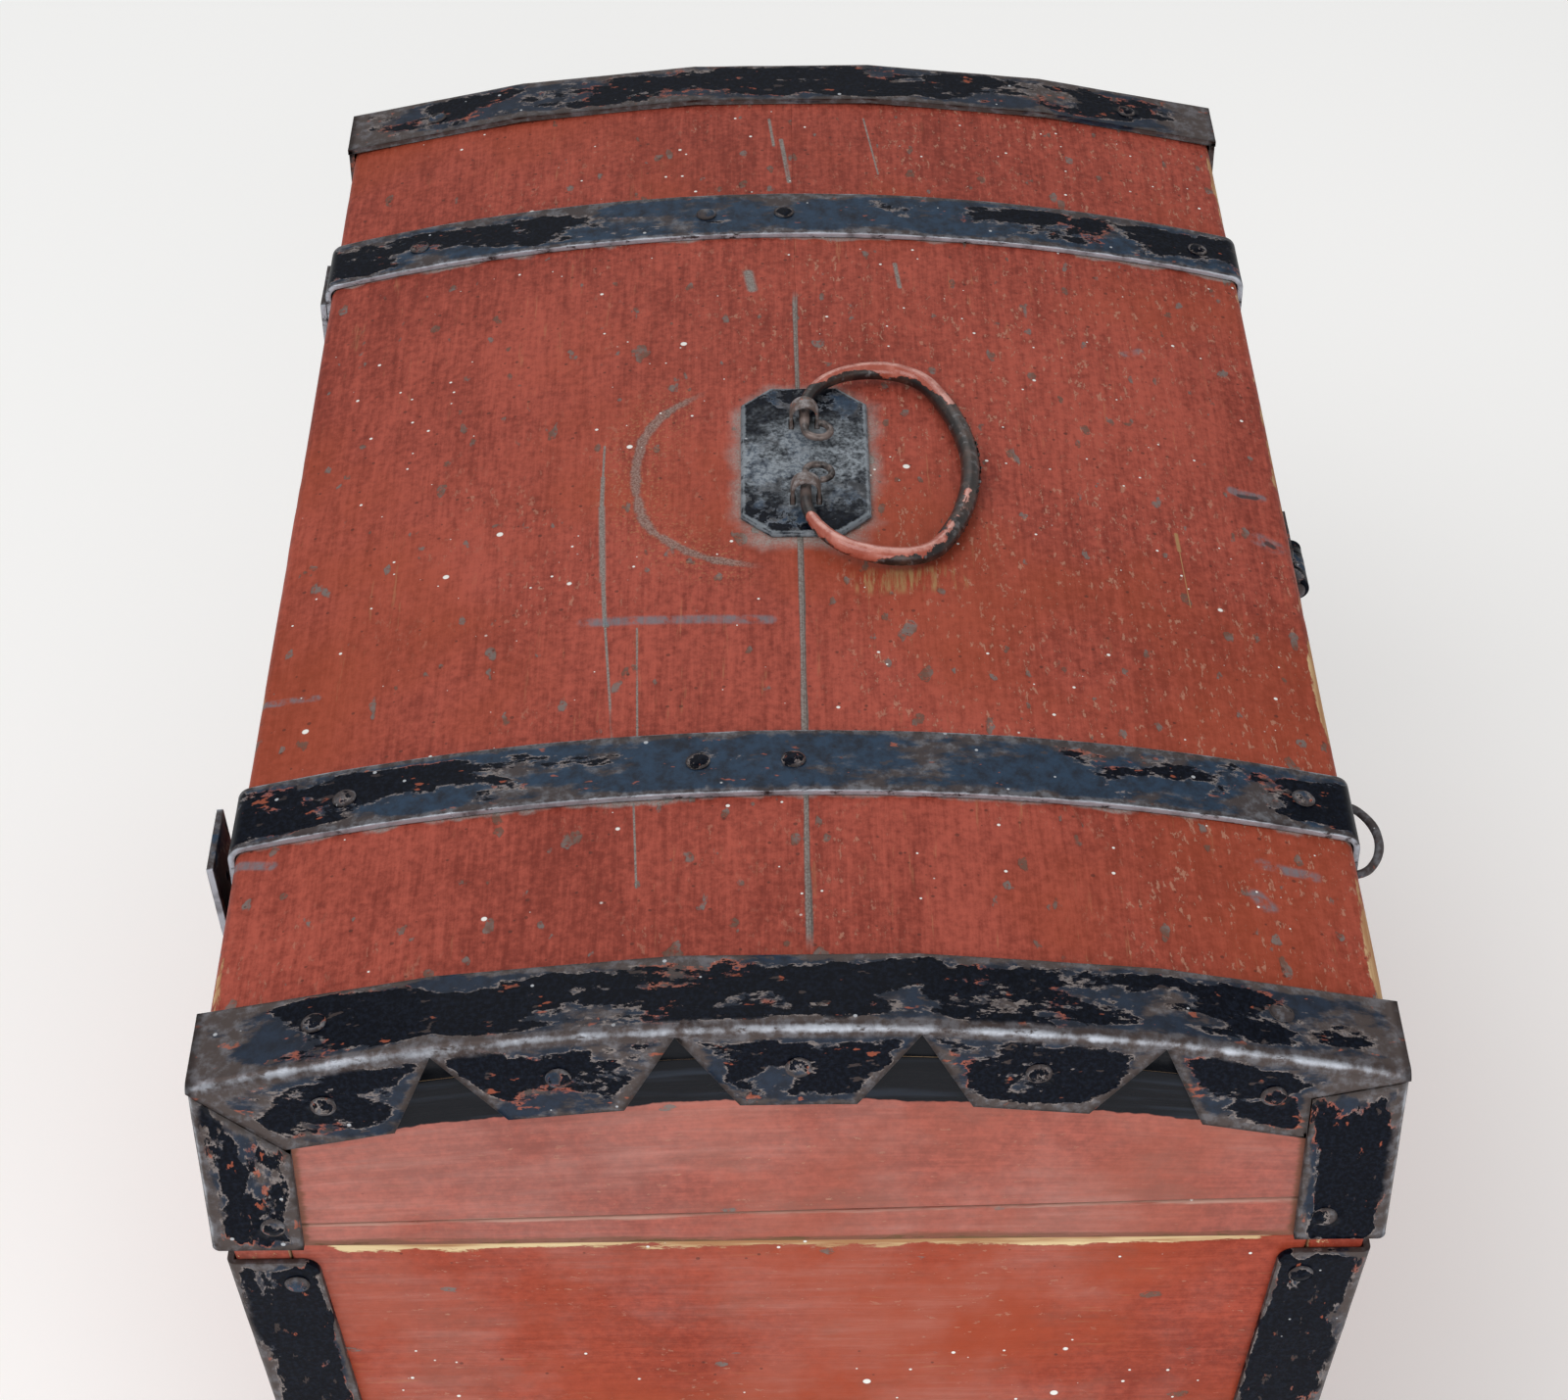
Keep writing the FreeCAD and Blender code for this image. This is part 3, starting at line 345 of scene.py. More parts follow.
# strokes run from one x, y to another, with a half width, in metres
lidMarks = {
    "seamFrom": 0.096, "seamTo": -0.212, "seamFade": 0.01, "seamWidth": 0.0019,
    "seamSoft": 0.0004, "seamShadow": (0.0001, 0.0006), "shade": (0.05, 0.036, 0.032, 1),
    "seamDust": ((0.150, 0.135, 0.122, 1), (0.27, 0.26, 0.24, 1)),
    # the scar's widths are shares of its reach
    "scarX": -0.0033, "scarY": -0.004, "scarHalf": 0.0473, "scarReach": 0.0495, "scarPower": 2.5,
    "scarDrift": 0.07, "scarWidth": 0.078, "scarSoft": 0.022, "scarLean": 0.19, "scarFrom": (0.0165, 0.027),
    "scarDust": ((0.135, 0.080, 0.066, 1), (0.31, 0.235, 0.205, 1)), "rubTan": (0.42, 0.19, 0.09, 1),
    "rubReach": 0.34, "rubSoft": 0.30, "rubPatch": ((1100, 2), (0.54, 0.66)),
    "cracks": [((0.013, 0.0553), (-0.004, 0.0553), 0.0005), ((-0.003, 0.0553), (-0.020, 0.0552), 0.0009),
               ((-0.018, 0.0552), (-0.054, 0.0538), 0.0013), ((-0.052, 0.0538), (-0.075, 0.0525), 0.0009),
               ((-0.073, 0.0526), (-0.126, 0.0489), 0.0005),
               ((-0.077, 0.0434), (-0.128, 0.0421), 0.0004), ((-0.152, 0.0425), (-0.185, 0.041), 0.0004),
               ((0.204, 0.0045), (0.186, 0.003), 0.0007), ((0.190, 0.0005), (0.162, -0.002), 0.0010),
               ((0.205, -0.028), (0.168, -0.032), 0.0004), ((0.106, 0.0118), (0.096, 0.0105), 0.0022),
               ((0.112, -0.0357), (0.098, -0.0368), 0.0010)],
    "scrapes": [((-0.0727, 0.0585), (-0.0755, 0.006), 0.0026), ((-0.0876, 0.150), (-0.0903, 0.1335), 0.0018),
                ((-0.156, 0.149), (-0.159, 0.139), 0.0022), ((-0.0185, -0.1405), (-0.0205, -0.1445), 0.0042),
                ((0.0050, -0.1345), (0.0035, -0.1430), 0.0024), ((0.071, -0.107), (0.074, -0.112), 0.002),
                ((-0.166, -0.123), (-0.168, -0.137), 0.0026), ((-0.179, -0.120), (-0.183, -0.123), 0.003)],
    "tanLines": [((-0.030, -0.1145), (-0.058, -0.1151), 0.0002),
                 ((-0.0228, -0.1143), (-0.031, -0.1145), 0.0008)],
    "gouges": [((0.0038, -0.1365), (0.0030, -0.1415), 0.0013),
               ((-0.0188, -0.1425), (-0.0200, -0.1440), 0.0016)],
    "bareRub": ((-0.0585, -0.022), (-0.0550, -0.046), 0.0075), "bareLines": ((300, 4, 0.7), (0.44, 0.60)),
    "scrapeTone": (0.150, 0.180, 0.205, 1), "gougeTone": (0.040, 0.034, 0.036, 1),
    "bareTones": ((0.27, 0.12, 0.05, 1), (0.44, 0.26, 0.12, 1)),
    "streak": 0.12, "powder": ((1500, 3, 0.7), (0.36, 0.64)), "patchy": (150, 3, 0.6),
    "crackSpan": (0.30, 0.42), "tanSpan": (0.34, 0.5), "broken": ((130, 6, 0.7), (0.36, 0.54)),
    "hatch": ((560, 4, 0.7), (0.36, 0.58)),
    "dust": (0.33, 0.33, 0.31, 1), "dustReach": 0.010, "plateCut": 0.009, "plateReach": 0.0022,
    "plateSpan": (-0.001, 0.006), "endSpan": (-0.004, 0.002), "endReach": 0.003, "strapUnder": 0.0012,
    "strapSoft": 0.002, "endGrain": (0.0016, 0.0010),
}


def strokesAt(place, strokes):
    return [strokeAt(place, *stroke) for stroke in strokes]


def topMarks(place, grain, colour, height):
    look = lidMarks
    x, y = axesOf(place)[:2]
    streak = drawnOut(grain, look["streak"])
    powder = patchAt(place, look["powder"])
    patchy = noiseAt(streak, *look["patchy"])
    # dusty joint between the two boards, with a painted shadow along its front side
    offSeam = absOf(minus(y, seamY))
    seamWidth = times(patchy, look["seamWidth"])
    seam = within(seamWidth, offSeam, look["seamSoft"])
    toNear = times(x, -1)
    fade = look["seamFade"]
    pastSeam = between(toNear, -look["seamFrom"], fade - look["seamFrom"])
    seam = allOf(seam, between(x, look["seamTo"], look["seamTo"] + fade), pastSeam)
    seamShadow = between(minus(seamY, y), *look["seamShadow"])
    # arc worn by the bail where it falls to the back
    across = calc("DIVIDE", minus(x, look["scarX"]), look["scarHalf"])
    along = calc("DIVIDE", minus(y, look["scarY"]), look["scarReach"])
    power = look["scarPower"]
    across = calc("POWER", absOf(across), power)
    along = calc("POWER", absOf(along), power)
    ring = calc("POWER", plus(across, along), 1 / power)
    drift = swayed(noiseAt(place, 45, 2), look["scarDrift"])
    offRing = absOf(plus(minus(ring, 1.0), drift))
    ringWidth = times(noiseAt(place, 170, 5, 0.7), look["scarWidth"])
    behind = between(minus(y, times(x, look["scarLean"])), *look["scarFrom"])
    scar = allOf(within(ringWidth, offRing, look["scarSoft"]), behind)
    rubs = within(look["rubReach"], offRing, look["rubSoft"])
    rubs = allOf(rubs, behind, patchAt(place, look["rubPatch"]))
    # cracks, scrapes and rubbed places, one by one
    cracks = anyOf(*strokesAt(place, look["cracks"]))
    cracks = allOf(cracks, between(patchy, *look["crackSpan"]))
    scrapes = strokesAt(place, look["scrapes"])
    broken = patchAt(place, look["broken"])
    hatch = lifted(patchAt(streak, look["hatch"]), 0.4, 0.6)
    scrapes = allOf(anyOf(*scrapes), broken, hatch)
    tan = anyOf(*strokesAt(place, look["tanLines"]))
    tan = allOf(tan, between(patchy, *look["tanSpan"]))
    rubbed = strokeAt(place, *look["bareRub"])
    rubbed = allOf(rubbed, patchAt(streak, look["bareLines"]))
    # dust that gathers beside the irons and round the handle's plate
    aside = absOf(x)
    offStrap = absOf(minus(aside, strapX))
    plateMiddle = (plateLow.y + plateHigh.y) / 2
    plateHalf = (plateHigh.y - plateLow.y) / 2
    fromPlate = absOf(minus(y, plateMiddle))
    corner = plus(aside, fromPlate)
    corner = minus(corner, plateHigh.x + plateHalf - look["plateCut"])
    corner = times(corner, math.sqrt(0.5))
    offEnd = minus(aside, plateHigh.x)
    offPlate = anyOf(offEnd, minus(fromPlate, plateHalf), corner)
    reach = swayed(noiseAt(place, 90, 3), look["dustReach"], 0.30)
    besideStrap = minus(plus(reach, strapHalf - look["strapUnder"]), offStrap)
    nearEnd = between(toNear, *(plateHigh.x + past for past in look["endSpan"]))
    reach = plus(reach, times(nearEnd, look["endReach"]))
    besidePlate = minus(plus(reach, look["plateReach"]), offPlate)
    settled = anyOf(between(besideStrap, 0.0, look["strapSoft"]),
                    between(besidePlate, *look["plateSpan"]))
    settled = allOf(settled, lifted(powder, 0.5, 0.5))
    colour = tint(colour, look["dust"], settled, 0.8)
    dusty = mixTone(powder, *look["scarDust"])
    colour = tint(colour, look["rubTan"], rubs, 0.45)
    colour = tint(colour, dusty, scar, 0.8)
    filled = mixTone(powder, *look["seamDust"])
    colour = tint(colour, filled, anyOf(seam, cracks), 0.9)
    # painted shadow along the front side of the joint
    colour = tint(colour, look["shade"], allOf(seam, seamShadow), 0.6)
    colour = tint(colour, look["scrapeTone"], scrapes, 0.75)
    gouges = anyOf(*strokesAt(place, look["gouges"]))
    colour = tint(colour, look["gougeTone"], gouges, 0.85)
    bareTone = mixTone(patchy, *look["bareTones"])
    colour = mixTone(anyOf(tan, rubbed), colour, bareTone)
    height = minus(height, anyOf(seam, scar))
    endGrain = between(aside, *(lidX - inside for inside in look["endGrain"]))
    colour = mixTone(endGrain, colour, endMarks["bandBlack"])
    return colour, height


sideBoard = {"edge": 0.0009, "spacing": 0.006, "endSpacing": 0.005, "waviness": 0.00025, "waveSize": 0.06,
             "stripFront": 0.0145, "stripBack": 0.008, "stripGap": 0.0003, "railWear": 0.35,
             "stripWear": 0.55}


def stripTop(y):
    inner = lidY - lidWall
    share = (y + inner) / (2 * inner)
    return lidLow + sideBoard["stripFront"] + share * (sideBoard["stripBack"] - sideBoard["stripFront"])


endMarks = {
    "bandDepth": 0.0255, "bandDrift": 0.005, "bandSoft": 0.0006, "bandIn": (0.002, 0.001),
    "bandBlack": (0.004, 0.005, 0.008, 1), "bandBlue": (0.018, 0.024, 0.036, 1),
    "stain": (0.115, 0.060, 0.030, 1), "stainWidth": 0.0042, "footWidth": 0.0060, "stainSpan": (0.0, 0.0015),
    "scratch": (0.47, 0.30, 0.24, 1), "scratchWidth": 0.0042, "scratchSpan": (0.0010, 0.0022),
}


def endBand(place, grain, colour, height):
    look = endMarks
    # black paint that ran past the notched iron onto the wood
    x, y, z = axesOf(place)
    up = minus(z, domeAxis)
    radius = plus(times(y, y), times(up, up))
    radius = calc("SQRT", radius)
    drift = swayed(noiseAt(place, 60, 4, 0.6), look["bandDrift"])
    bandLow = domeRadius - look["bandDepth"]
    band = between(plus(radius, drift), bandLow, bandLow + look["bandSoft"])
    onFace = between(absOf(x), *(lidX - inside for inside in look["bandIn"]))
    band = allOf(band, onFace)
    bars = noiseAt(drawnOut(grain, 0.08), 240, 3)
    black = mixTone(between(bars, 0.5, 0.75), look["bandBlack"], look["bandBlue"])
    # pale scratches along the joint of board and strip, brown dirt by the corner irons and the lower edge
    joint = lifted(y, stripTop(1) - stripTop(0), stripTop(0))
    offJoint = absOf(minus(z, joint))
    lines = noiseAt(drawnOut(grain, 0.10), 330, 4, 0.7)
    scratch = minus(times(lines, look["scratchWidth"]), offJoint)
    scratch = between(scratch, *look["scratchSpan"])
    colour = tint(colour, look["scratch"], scratch, 0.75)
    toIron = minus(lidY + iron - cornerLeg, absOf(y))
    dirty = minus(times(lines, look["stainWidth"]), toIron)
    toFoot = minus(z, lidLow)
    dirtyFoot = minus(times(lines, look["footWidth"]), toFoot)
    span = look["stainSpan"]
    dirt = anyOf(between(dirty, *span), between(dirtyFoot, *span))
    colour = tint(colour, look["stain"], dirt, 0.6)
    colour = mixTone(band, colour, black)
    return colour, height


ironLook = {
    "black": (0.0018, 0.0027, 0.0060, 1), "deep": (0.0065, 0.0095, 0.018, 1),
    "blue": (0.0165, 0.040, 0.077, 1), "brown": (0.048, 0.037, 0.037, 1), "ash": (0.128, 0.128, 0.142, 1),
    "bareMetalAndHighlight": (0.47, 0.50, 0.56, 1), "underRed": (0.36, 0.095, 0.052, 1), "rim": (0.245, 0.205, 0.190, 1),
    "dustTone": (0.30, 0.31, 0.31, 1), "dropTone": (0.50, 0.52, 0.55, 1),
    "stretch": 0.45, "blackFrom": 0.475, "edgeLoss": 0.20, "edgeBrown": 0.16, "brownFrom": 0.50,
    "endsBlacker": 0.0, "blackerFrom": 0.55, "endsBare": 0.0, "bareSpan": (0.76, 1.02), "redRim": 0.53,
    "dusty": False, "dustReach": 0.033, "dustSoft": 0.022, "dustDrift": 0.05,
    "thick": (62, 9, 0.66, 0.12), "cloud": (70, 6, 0.64), "grit": (800, 3, 0.65), "hammer": (120, 2),
    "speckle": (250, 5, 0.68), "pitPatch": ((330, 3, 0.6), (0.635, 0.67)),
    "rustLines": ((400, 4, 0.7), (0.54, 0.68)), "drops": (150, 0.08, 0.5), "relief": (0.45, 0.0005),
}


def ironPaint(name, **changes):
    look = {**ironLook, **changes}
    mat, shader = newFinish(name)
    place = placeAt(shader)
    wear = attributeAt(shader, "wear")
    rubAndHighlight = attributeAt(shader, "highlightAndWear")
    drawn = drawnOut(attributeAt(shader, "grain", "Vector"), look["stretch"])
    thick = noiseAt(drawn, *look["thick"])
    cloud = noiseAt(moved(drawn, (0.41, 0.13, 0.77)), *look["cloud"])
    grit = noiseAt(place, *look["grit"])
    hammer = noiseAt(place, *look["hammer"])
    speckle = noiseAt(place, *look["speckle"])
    # thin blue paint over brown iron, browner towards the edges; the blue is also a painted bluish reflection
    thin = plus(cloud, times(wear, look["edgeBrown"]))
    level = minus(thick, times(wear, look["edgeLoss"]))
    if look["endsBare"]:
        aside = absOf(axesOf(place)[1])
        ends = between(aside, *(lidY * share for share in look["bareSpan"]))
        ends = times(ends, look["endsBare"])
        thin = plus(thin, ends)
        level = minus(level, ends)
    colour = mixTone(between(speckle, 0.26, 0.66), look["deep"], look["blue"])
    bareIron = mixTone(between(speckle, 0.44, 0.68), look["brown"], look["ash"])
    bare = between(thin, look["brownFrom"], look["brownFrom"] + 0.09)
    colour = mixTone(bare, colour, bareIron)
    # thick black paint left in islands, its broken rim red or pale in places
    if look["endsBlacker"]:
        toEnds = minus(absOf(axesOf(place)[1]), lidY * look["blackerFrom"])
        level = plus(level, times(toEnds, look["endsBlacker"]))
    start = look["blackFrom"]
    redPart = between(noiseAt(place, 48, 3), look["redRim"], look["redRim"] + 0.04)
    rimTone = mixTone(redPart, look["rim"], look["underRed"])
    rim = allOf(between(level, start - 0.026, start - 0.010), between(speckle, 0.42, 0.56))
    colour = tint(colour, rimTone, rim, 0.75)
    black = between(level, start, start + 0.008)
    gloss = mixTone(between(grit, 0.4, 0.7), look["black"], look["deep"])
    colour = mixTone(black, colour, gloss)
    pits = patchAt(drawn, look["pitPatch"])
    pitTone = mixTone(between(hammer, 0.52, 0.58), look["brown"], look["underRed"])
    colour = tint(colour, pitTone, pits, 0.7)
    # bare metal along the folds and edges, lightened further by a painted highlight
    bareMetalAndHighlight = plus(rubAndHighlight, swayed(hammer, 0.5))
    bareMetalAndHighlight = plus(bareMetalAndHighlight, swayed(speckle, 0.35))
    rubbed = mixTone(between(speckle, 0.40, 0.62), look["brown"], look["ash"])
    metal = mixTone(between(bareMetalAndHighlight, 0.70, 1.02), rubbed, look["bareMetalAndHighlight"])
    metal = mixTone(patchAt(drawn, look["rustLines"]), metal, look["brown"])
    bareMetalAndHighlight = between(bareMetalAndHighlight, 0.25, 0.65)
    colour = tint(colour, metal, bareMetalAndHighlight, 0.92)
    if look["dusty"]:
        # dust lies thickest in the plate's middle and along its edge
        middle = (plateLow + plateHigh) / 2
        away = vectorCalc("MULTIPLY", vectorCalc("SUBTRACT", place, middle), (1, 1, 0))
        away = vectorCalc("LENGTH", away, output="Value")
        away = plus(away, swayed(cloud, look["dustDrift"]))
        settled = within(look["dustReach"], away, look["dustSoft"])
        settled = allOf(settled, between(speckle, 0.30, 0.62), between(grit, 0.20, 0.70))
        colour = mixTone(times(settled, 1.3, clamp=True), colour, look["dustTone"])
        edged = plus(wear, swayed(speckle, 0.8))
        edged = between(edged, 0.68, 0.90)
        colour = tint(colour, look["dustTone"], edged, 0.65)
    drops = dotsAt(place, *look["drops"])
    colour = tint(colour, look["dropTone"], drops, 0.8)
    height = weighted((black, 0.45), (grit, 0.22), (hammer, 0.6))
    height = minus(height, times(anyOf(pits, bare), 0.25))
    rough = mixValue(black, 0.50, 0.30)
    rough = mixValue(bareMetalAndHighlight, rough, 0.36)
    rough = plus(rough, times(grit, 0.12))
    feed(shader.inputs["Base Color"], colour)
    feed(shader.inputs["Roughness"], rough)
    feed(shader.inputs["Metallic"], times(bareMetalAndHighlight, 0.5))
    feed(shader.inputs["Specular IOR Level"], mixValue(black, 0.22, 0.05))
    reliefOf(shader, height, *look["relief"])
    return mat


pineLook = {"pale": (0.47, 0.31, 0.165, 1), "late": (0.27, 0.145, 0.065, 1), "grey": (0.22, 0.17, 0.13, 1),
            "rings": 520, "ringDrift": 20, "stain": ((11, 4, 0.6), (0.45, 0.7)), "relief": (0.4, 0.0004)}


def barePine(name):
    look = pineLook
    mat, shader = newFinish(name)
    place = placeAt(shader)
    grain = attributeAt(shader, "grain", "Vector")
    drift = noiseAt(vectorCalc("MULTIPLY", grain, (0.5, 2.0, 2.0)), 6, 2)
    rings = times(axesOf(grain)[1], look["rings"])
    rings = plus(rings, times(drift, look["ringDrift"]))
    rings = lifted(calc("SINE", rings), 0.5, 0.5)
    fine = noiseAt(drawnOut(grain, 0.03), 700, 3, 0.6)
    lateWood = times(between(rings, 0.45, 1.0), 0.6)
    colour = mixTone(lateWood, look["pale"], look["late"])
    colour = tint(colour, look["late"], fine, 0.45)
    stain = patchAt(place, look["stain"])
    colour = tint(colour, look["grey"], stain, 0.5)
    feed(shader.inputs["Base Color"], colour)
    feed(shader.inputs["Roughness"], lifted(fine, 0.15, 0.66))
    height = plus(times(rings, 0.5), fine)
    reliefOf(shader, height, *look["relief"])
    return mat


bailLook = {
    "red": (0.34, 0.075, 0.045, 1), "pink": (0.50, 0.17, 0.125, 1), "iron": (0.014, 0.011, 0.011, 1),
    "rust": (0.062, 0.034, 0.026, 1), "grey": (0.125, 0.118, 0.122, 1), "worn": (0.215, 0.165, 0.150, 1),
    "pale": (0.78, 0.46, 0.40, 1), "specular": 0.6, "relief": (0.5, 0.0005),
    # places along the bail, in metres
    "armSpan": (-0.058, -0.034), "middle": -0.0015, "eyeSpan": (0.0310, 0.0350), "outSpan": (0.024, 0.030),
    "curlAside": (0.027, 0.022), "curlSpan": (-0.024, -0.018),
    "wide": (60, 6, 0.62, 0.2), "grit": (800, 3, 0.6), "mottle": (190, 4, 0.62),
    "greyPatch": ((420, 3), (0.56, 0.72)), "leftSpan": (0.42, 0.46),
}


def bailPaint(name):
    look = bailLook
    mat, shader = newFinish(name)
    place = placeAt(shader)
    wear = attributeAt(shader, "wear")
    wide = noiseAt(place, *look["wide"])
    grit = noiseAt(place, *look["grit"])
    mottle = noiseAt(place, *look["mottle"])
    metal = mixTone(between(mottle, 0.4, 0.7), look["iron"], look["rust"])
    metal = mixTone(patchAt(place, look["greyPatch"]), metal, look["grey"])
    paint = mixTone(between(mottle, 0.4, 0.75), look["red"], look["pink"])
    # painted highlight: the bar's upward faces are lightened to pale pink
    rubbed = allOf(between(wear, 0.16, 0.02), between(mottle, 0.30, 0.55))
    paint = tint(paint, look["pale"], rubbed, 0.45)
    # most paint is left on top of the two arms, little on the gripped bow and none at the eyes
    x, y = axesOf(place)[:2]
    onArms = between(y, *look["armSpan"])
    aside = absOf(minus(x, look["middle"]))
    offEyes = anyOf(between(aside, *look["eyeSpan"]),
                    between(times(y, -1), *look["outSpan"]))
    level = lifted(wide, 1.6, -0.30)
    level = plus(level, swayed(onArms, 0.36, 0.40))
    level = minus(level, times(wear, 0.52))
    atEyes = minus(1.0, offEyes)
    level = minus(level, times(atEyes, 0.6))
    curled = allOf(between(mottle, 0.36, 0.60), between(aside, *look["curlAside"]),
                   between(y, *look["curlSpan"]))
    metal = tint(metal, look["worn"], curled, 0.8)
    left = between(level, *look["leftSpan"])
    colour = mixTone(left, metal, paint)
    feed(shader.inputs["Base Color"], colour)
    rough = plus(mixValue(left, 0.32, 0.16), times(grit, 0.12))
    feed(shader.inputs["Roughness"], rough)
    feed(shader.inputs["Metallic"], mixValue(left, 0.2, 0.0))
    shader.inputs["Specular IOR Level"].default_value = look["specular"]
    height = weighted((left, 0.6), (mottle, 0.9))
    reliefOf(shader, height, *look["relief"])
    return mat


pine = barePine("barePine")
redTop = redPaint("redLidTop", topMarks, frontMore=0.9)
redSide = redPaint("redLidSide", chips=0.6)
redEnd = redPaint("redLidEnd", endBand, scuff=0.42, veiled=0.17, gloss=0.42, chips=0.12, fleckFrom=0.64,
                  drops=0.3, tan=(0.15, 0.075, 0.035, 1), bareWood=(0.27, 0.16, 0.075, 1))
redBox = redPaint("redBoxSide", scuff=0.34, gloss=0.34, warmth=0.8, chips=0.2, fleckFrom=0.64, drops=0.4,
                  dark=(0.215, 0.029, 0.015, 1), light=(0.40, 0.070, 0.039, 1), warm=(0.34, 0.052, 0.016, 1),
                  bareWood=(0.74, 0.58, 0.33, 1))
blackStrap = ironPaint("blackStrap", blackFrom=0.525, endsBlacker=1.6, brownFrom=0.53, redRim=0.56)
blackHasp = ironPaint("blackHasp", blackFrom=0.50, brownFrom=0.53, redRim=0.72)
angleTones = {"blue": (0.013, 0.024, 0.046, 1), "brown": (0.062, 0.047, 0.044, 1),
              "ash": (0.125, 0.118, 0.128, 1)}
blackAngle = ironPaint("blackAngle", blackFrom=0.445, edgeLoss=0.22, edgeBrown=0.20, brownFrom=0.53,
                       endsBare=0.17, **angleTones)
blackCorner = ironPaint("blackCorner", blackFrom=0.425, edgeLoss=0.20, edgeBrown=0.20, **angleTones)
blackBox = ironPaint("blackBoxCorner", blackFrom=0.385, edgeLoss=0.22, edgeBrown=0.20, **angleTones)
blackPlate = ironPaint("blackPlate", blackFrom=0.48, stretch=1.0, edgeLoss=0.0, dusty=True,
                       underRed=(0.10, 0.11, 0.12, 1), rim=(0.12, 0.14, 0.17, 1),
                       brown=(0.030, 0.032, 0.038, 1), dustTone=(0.255, 0.285, 0.315, 1))
darkIron = ironPaint("darkIron", blackFrom=0.66, brownFrom=0.36, stretch=1.0)
eyeIron = ironPaint("eyeIron", blackFrom=0.80, brownFrom=0.30, stretch=1.0, brown=(0.11, 0.078, 0.068, 1),
                    ash=(0.30, 0.28, 0.285, 1))
nailIron = ironPaint("nailIron", blackFrom=0.50, brownFrom=0.40, edgeLoss=0.1, stretch=1.0)
bailRed = bailPaint("bailRed")
print("finishes made")


# pieces
def keepPiece(name, bm, body, nodes, finishes):
    mesh = bpy.data.meshes.new(name)
    bm.to_mesh(mesh)
    bm.free()
    for polygon in mesh.polygons:
        polygon.use_smooth = True
    for finish in finishes:
        mesh.materials.append(finish)
    piece = bpy.data.objects.new(name, mesh)
    bpy.context.scene.collection.objects.link(piece)
    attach(piece, body)
    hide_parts(*nodes)
    return piece


def roughen(bm, depth, size, seed, isKept=None):
    # hand-worked unevenness, always into the piece
    bm.normal_update()
    moves = []
    for vert in bm.verts:
        at = vert.co / size + Vector((seed * 7.3, seed * 3.1, seed * 5.7))
        share = 0.0 if isKept and isKept(vert.co) else 0.5 + 0.5 * noise.noise(at)
        moves.append(vert.normal * (-depth * share))
    for vert, move in zip(bm.verts, moves):
        vert.co += move


grainShift = Vector((0.37, 0.19, 0.23))


def grainOf(at, along, seed):
    # length first, so that patterns can be drawn out along it, and shifted so that no two pieces match
    others = [at[axis] for axis in range(3) if axis != along]
    return Vector((at[along], *others)) + grainShift * seed


board = {"softSegments": 4, "sharp": 1.0, "straight": 0.99, "wearReach": 0.006}


def boardBlock(low, high, edge, spacing, along, seed, wornAt, softEdges=None, softSize=0.003):
    # sawn board with eased edges, an even grid, and its own grain and edge wear
    bm = bmesh.new()
    bmesh.ops.create_cube(bm, size=1.0)
    bmesh.ops.scale(bm, vec=high - low, verts=bm.verts)
    bmesh.ops.translate(bm, vec=(low + high) / 2, verts=bm.verts)
    if softEdges:
        chosen = [e for e in bm.edges if softEdges((e.verts[0].co + e.verts[1].co) / 2)]
        bmesh.ops.bevel(bm, geom=chosen, offset=softSize, segments=board["softSegments"], profile=0.5,
                        affect="EDGES", material=-1)
    sharp = [e for e in bm.edges if e.calc_face_angle(0) > board["sharp"]]
    bmesh.ops.bevel(bm, geom=sharp, offset=edge, segments=2, profile=0.5, affect="EDGES", material=-1)
    for axis in range(3):
        runs = []
        for e in bm.edges:
            run = e.verts[1].co - e.verts[0].co
            if abs(run[axis]) > board["straight"] * run.length and run.length > 2 * spacing:
                runs.append(e)
        if runs:
            cuts = max(1, round(max(e.calc_length() for e in runs) / spacing) - 1)
            bmesh.ops.subdivide_edges(bm, edges=runs, cuts=cuts, use_grid_fill=True)
    grain = bm.verts.layers.float_vector.new("grain")
    wear = bm.verts.layers.float.new("wear")
    for vert in bm.verts:
        vert[grain] = grainOf(vert.co, along, seed)
        depths = sorted([vert.co[i] - low[i] for i in range(3)] + [high[i] - vert.co[i] for i in range(3)])
        nearEdge = max(0.0, 1.0 - max(0.0, depths[1] - edge) / board["wearReach"])
        vert[wear] = nearEdge * wornAt(vert.co)
    return bm


def underDome(y):
    return domeAxis + math.sqrt((domeRadius - topThick) ** 2 - y * y)


def paintInside(bm, isInside):
    bm.normal_update()
    for face in bm.faces:
        if isInside(face.normal, face.calc_center_median()):
            face.material_index = 1


topBoard = {
    "edge": 0.00006, "eaveRound": 0.003, "spacing": 0.0026, "waviness": 0.0003, "waveSize": 0.05,
    "seamGap": 0.00002,
    "dents": [(0.0035, -0.137, 0.0045, 0.0011), (-0.0195, -0.1435, 0.006, 0.0008),
              (0.1018, 0.0113, 0.005, 0.0005), (-0.0895, 0.145, 0.005, 0.0007),
              (-0.166, -0.130, 0.006, 0.0006), (0.108, -0.0362, 0.004, 0.0006),
              (0.072, -0.1095, 0.004, 0.0006), (-0.058, -0.030, 0.007, 0.0004)],
    "nickDepth": 0.0012, "nickSize": 0.012, "nickAcross": 0.02, "nickFrom": 0.15, "nickReach": 0.006,
    "eaveReach": 0.012, "wornFront": 1.0, "wornBack": 0.60, "wornMean": 0.65, "wornSwing": 0.8,
    "wornRate": 18, "wornLow": 0.6, "seamKept": 0.0009,
}


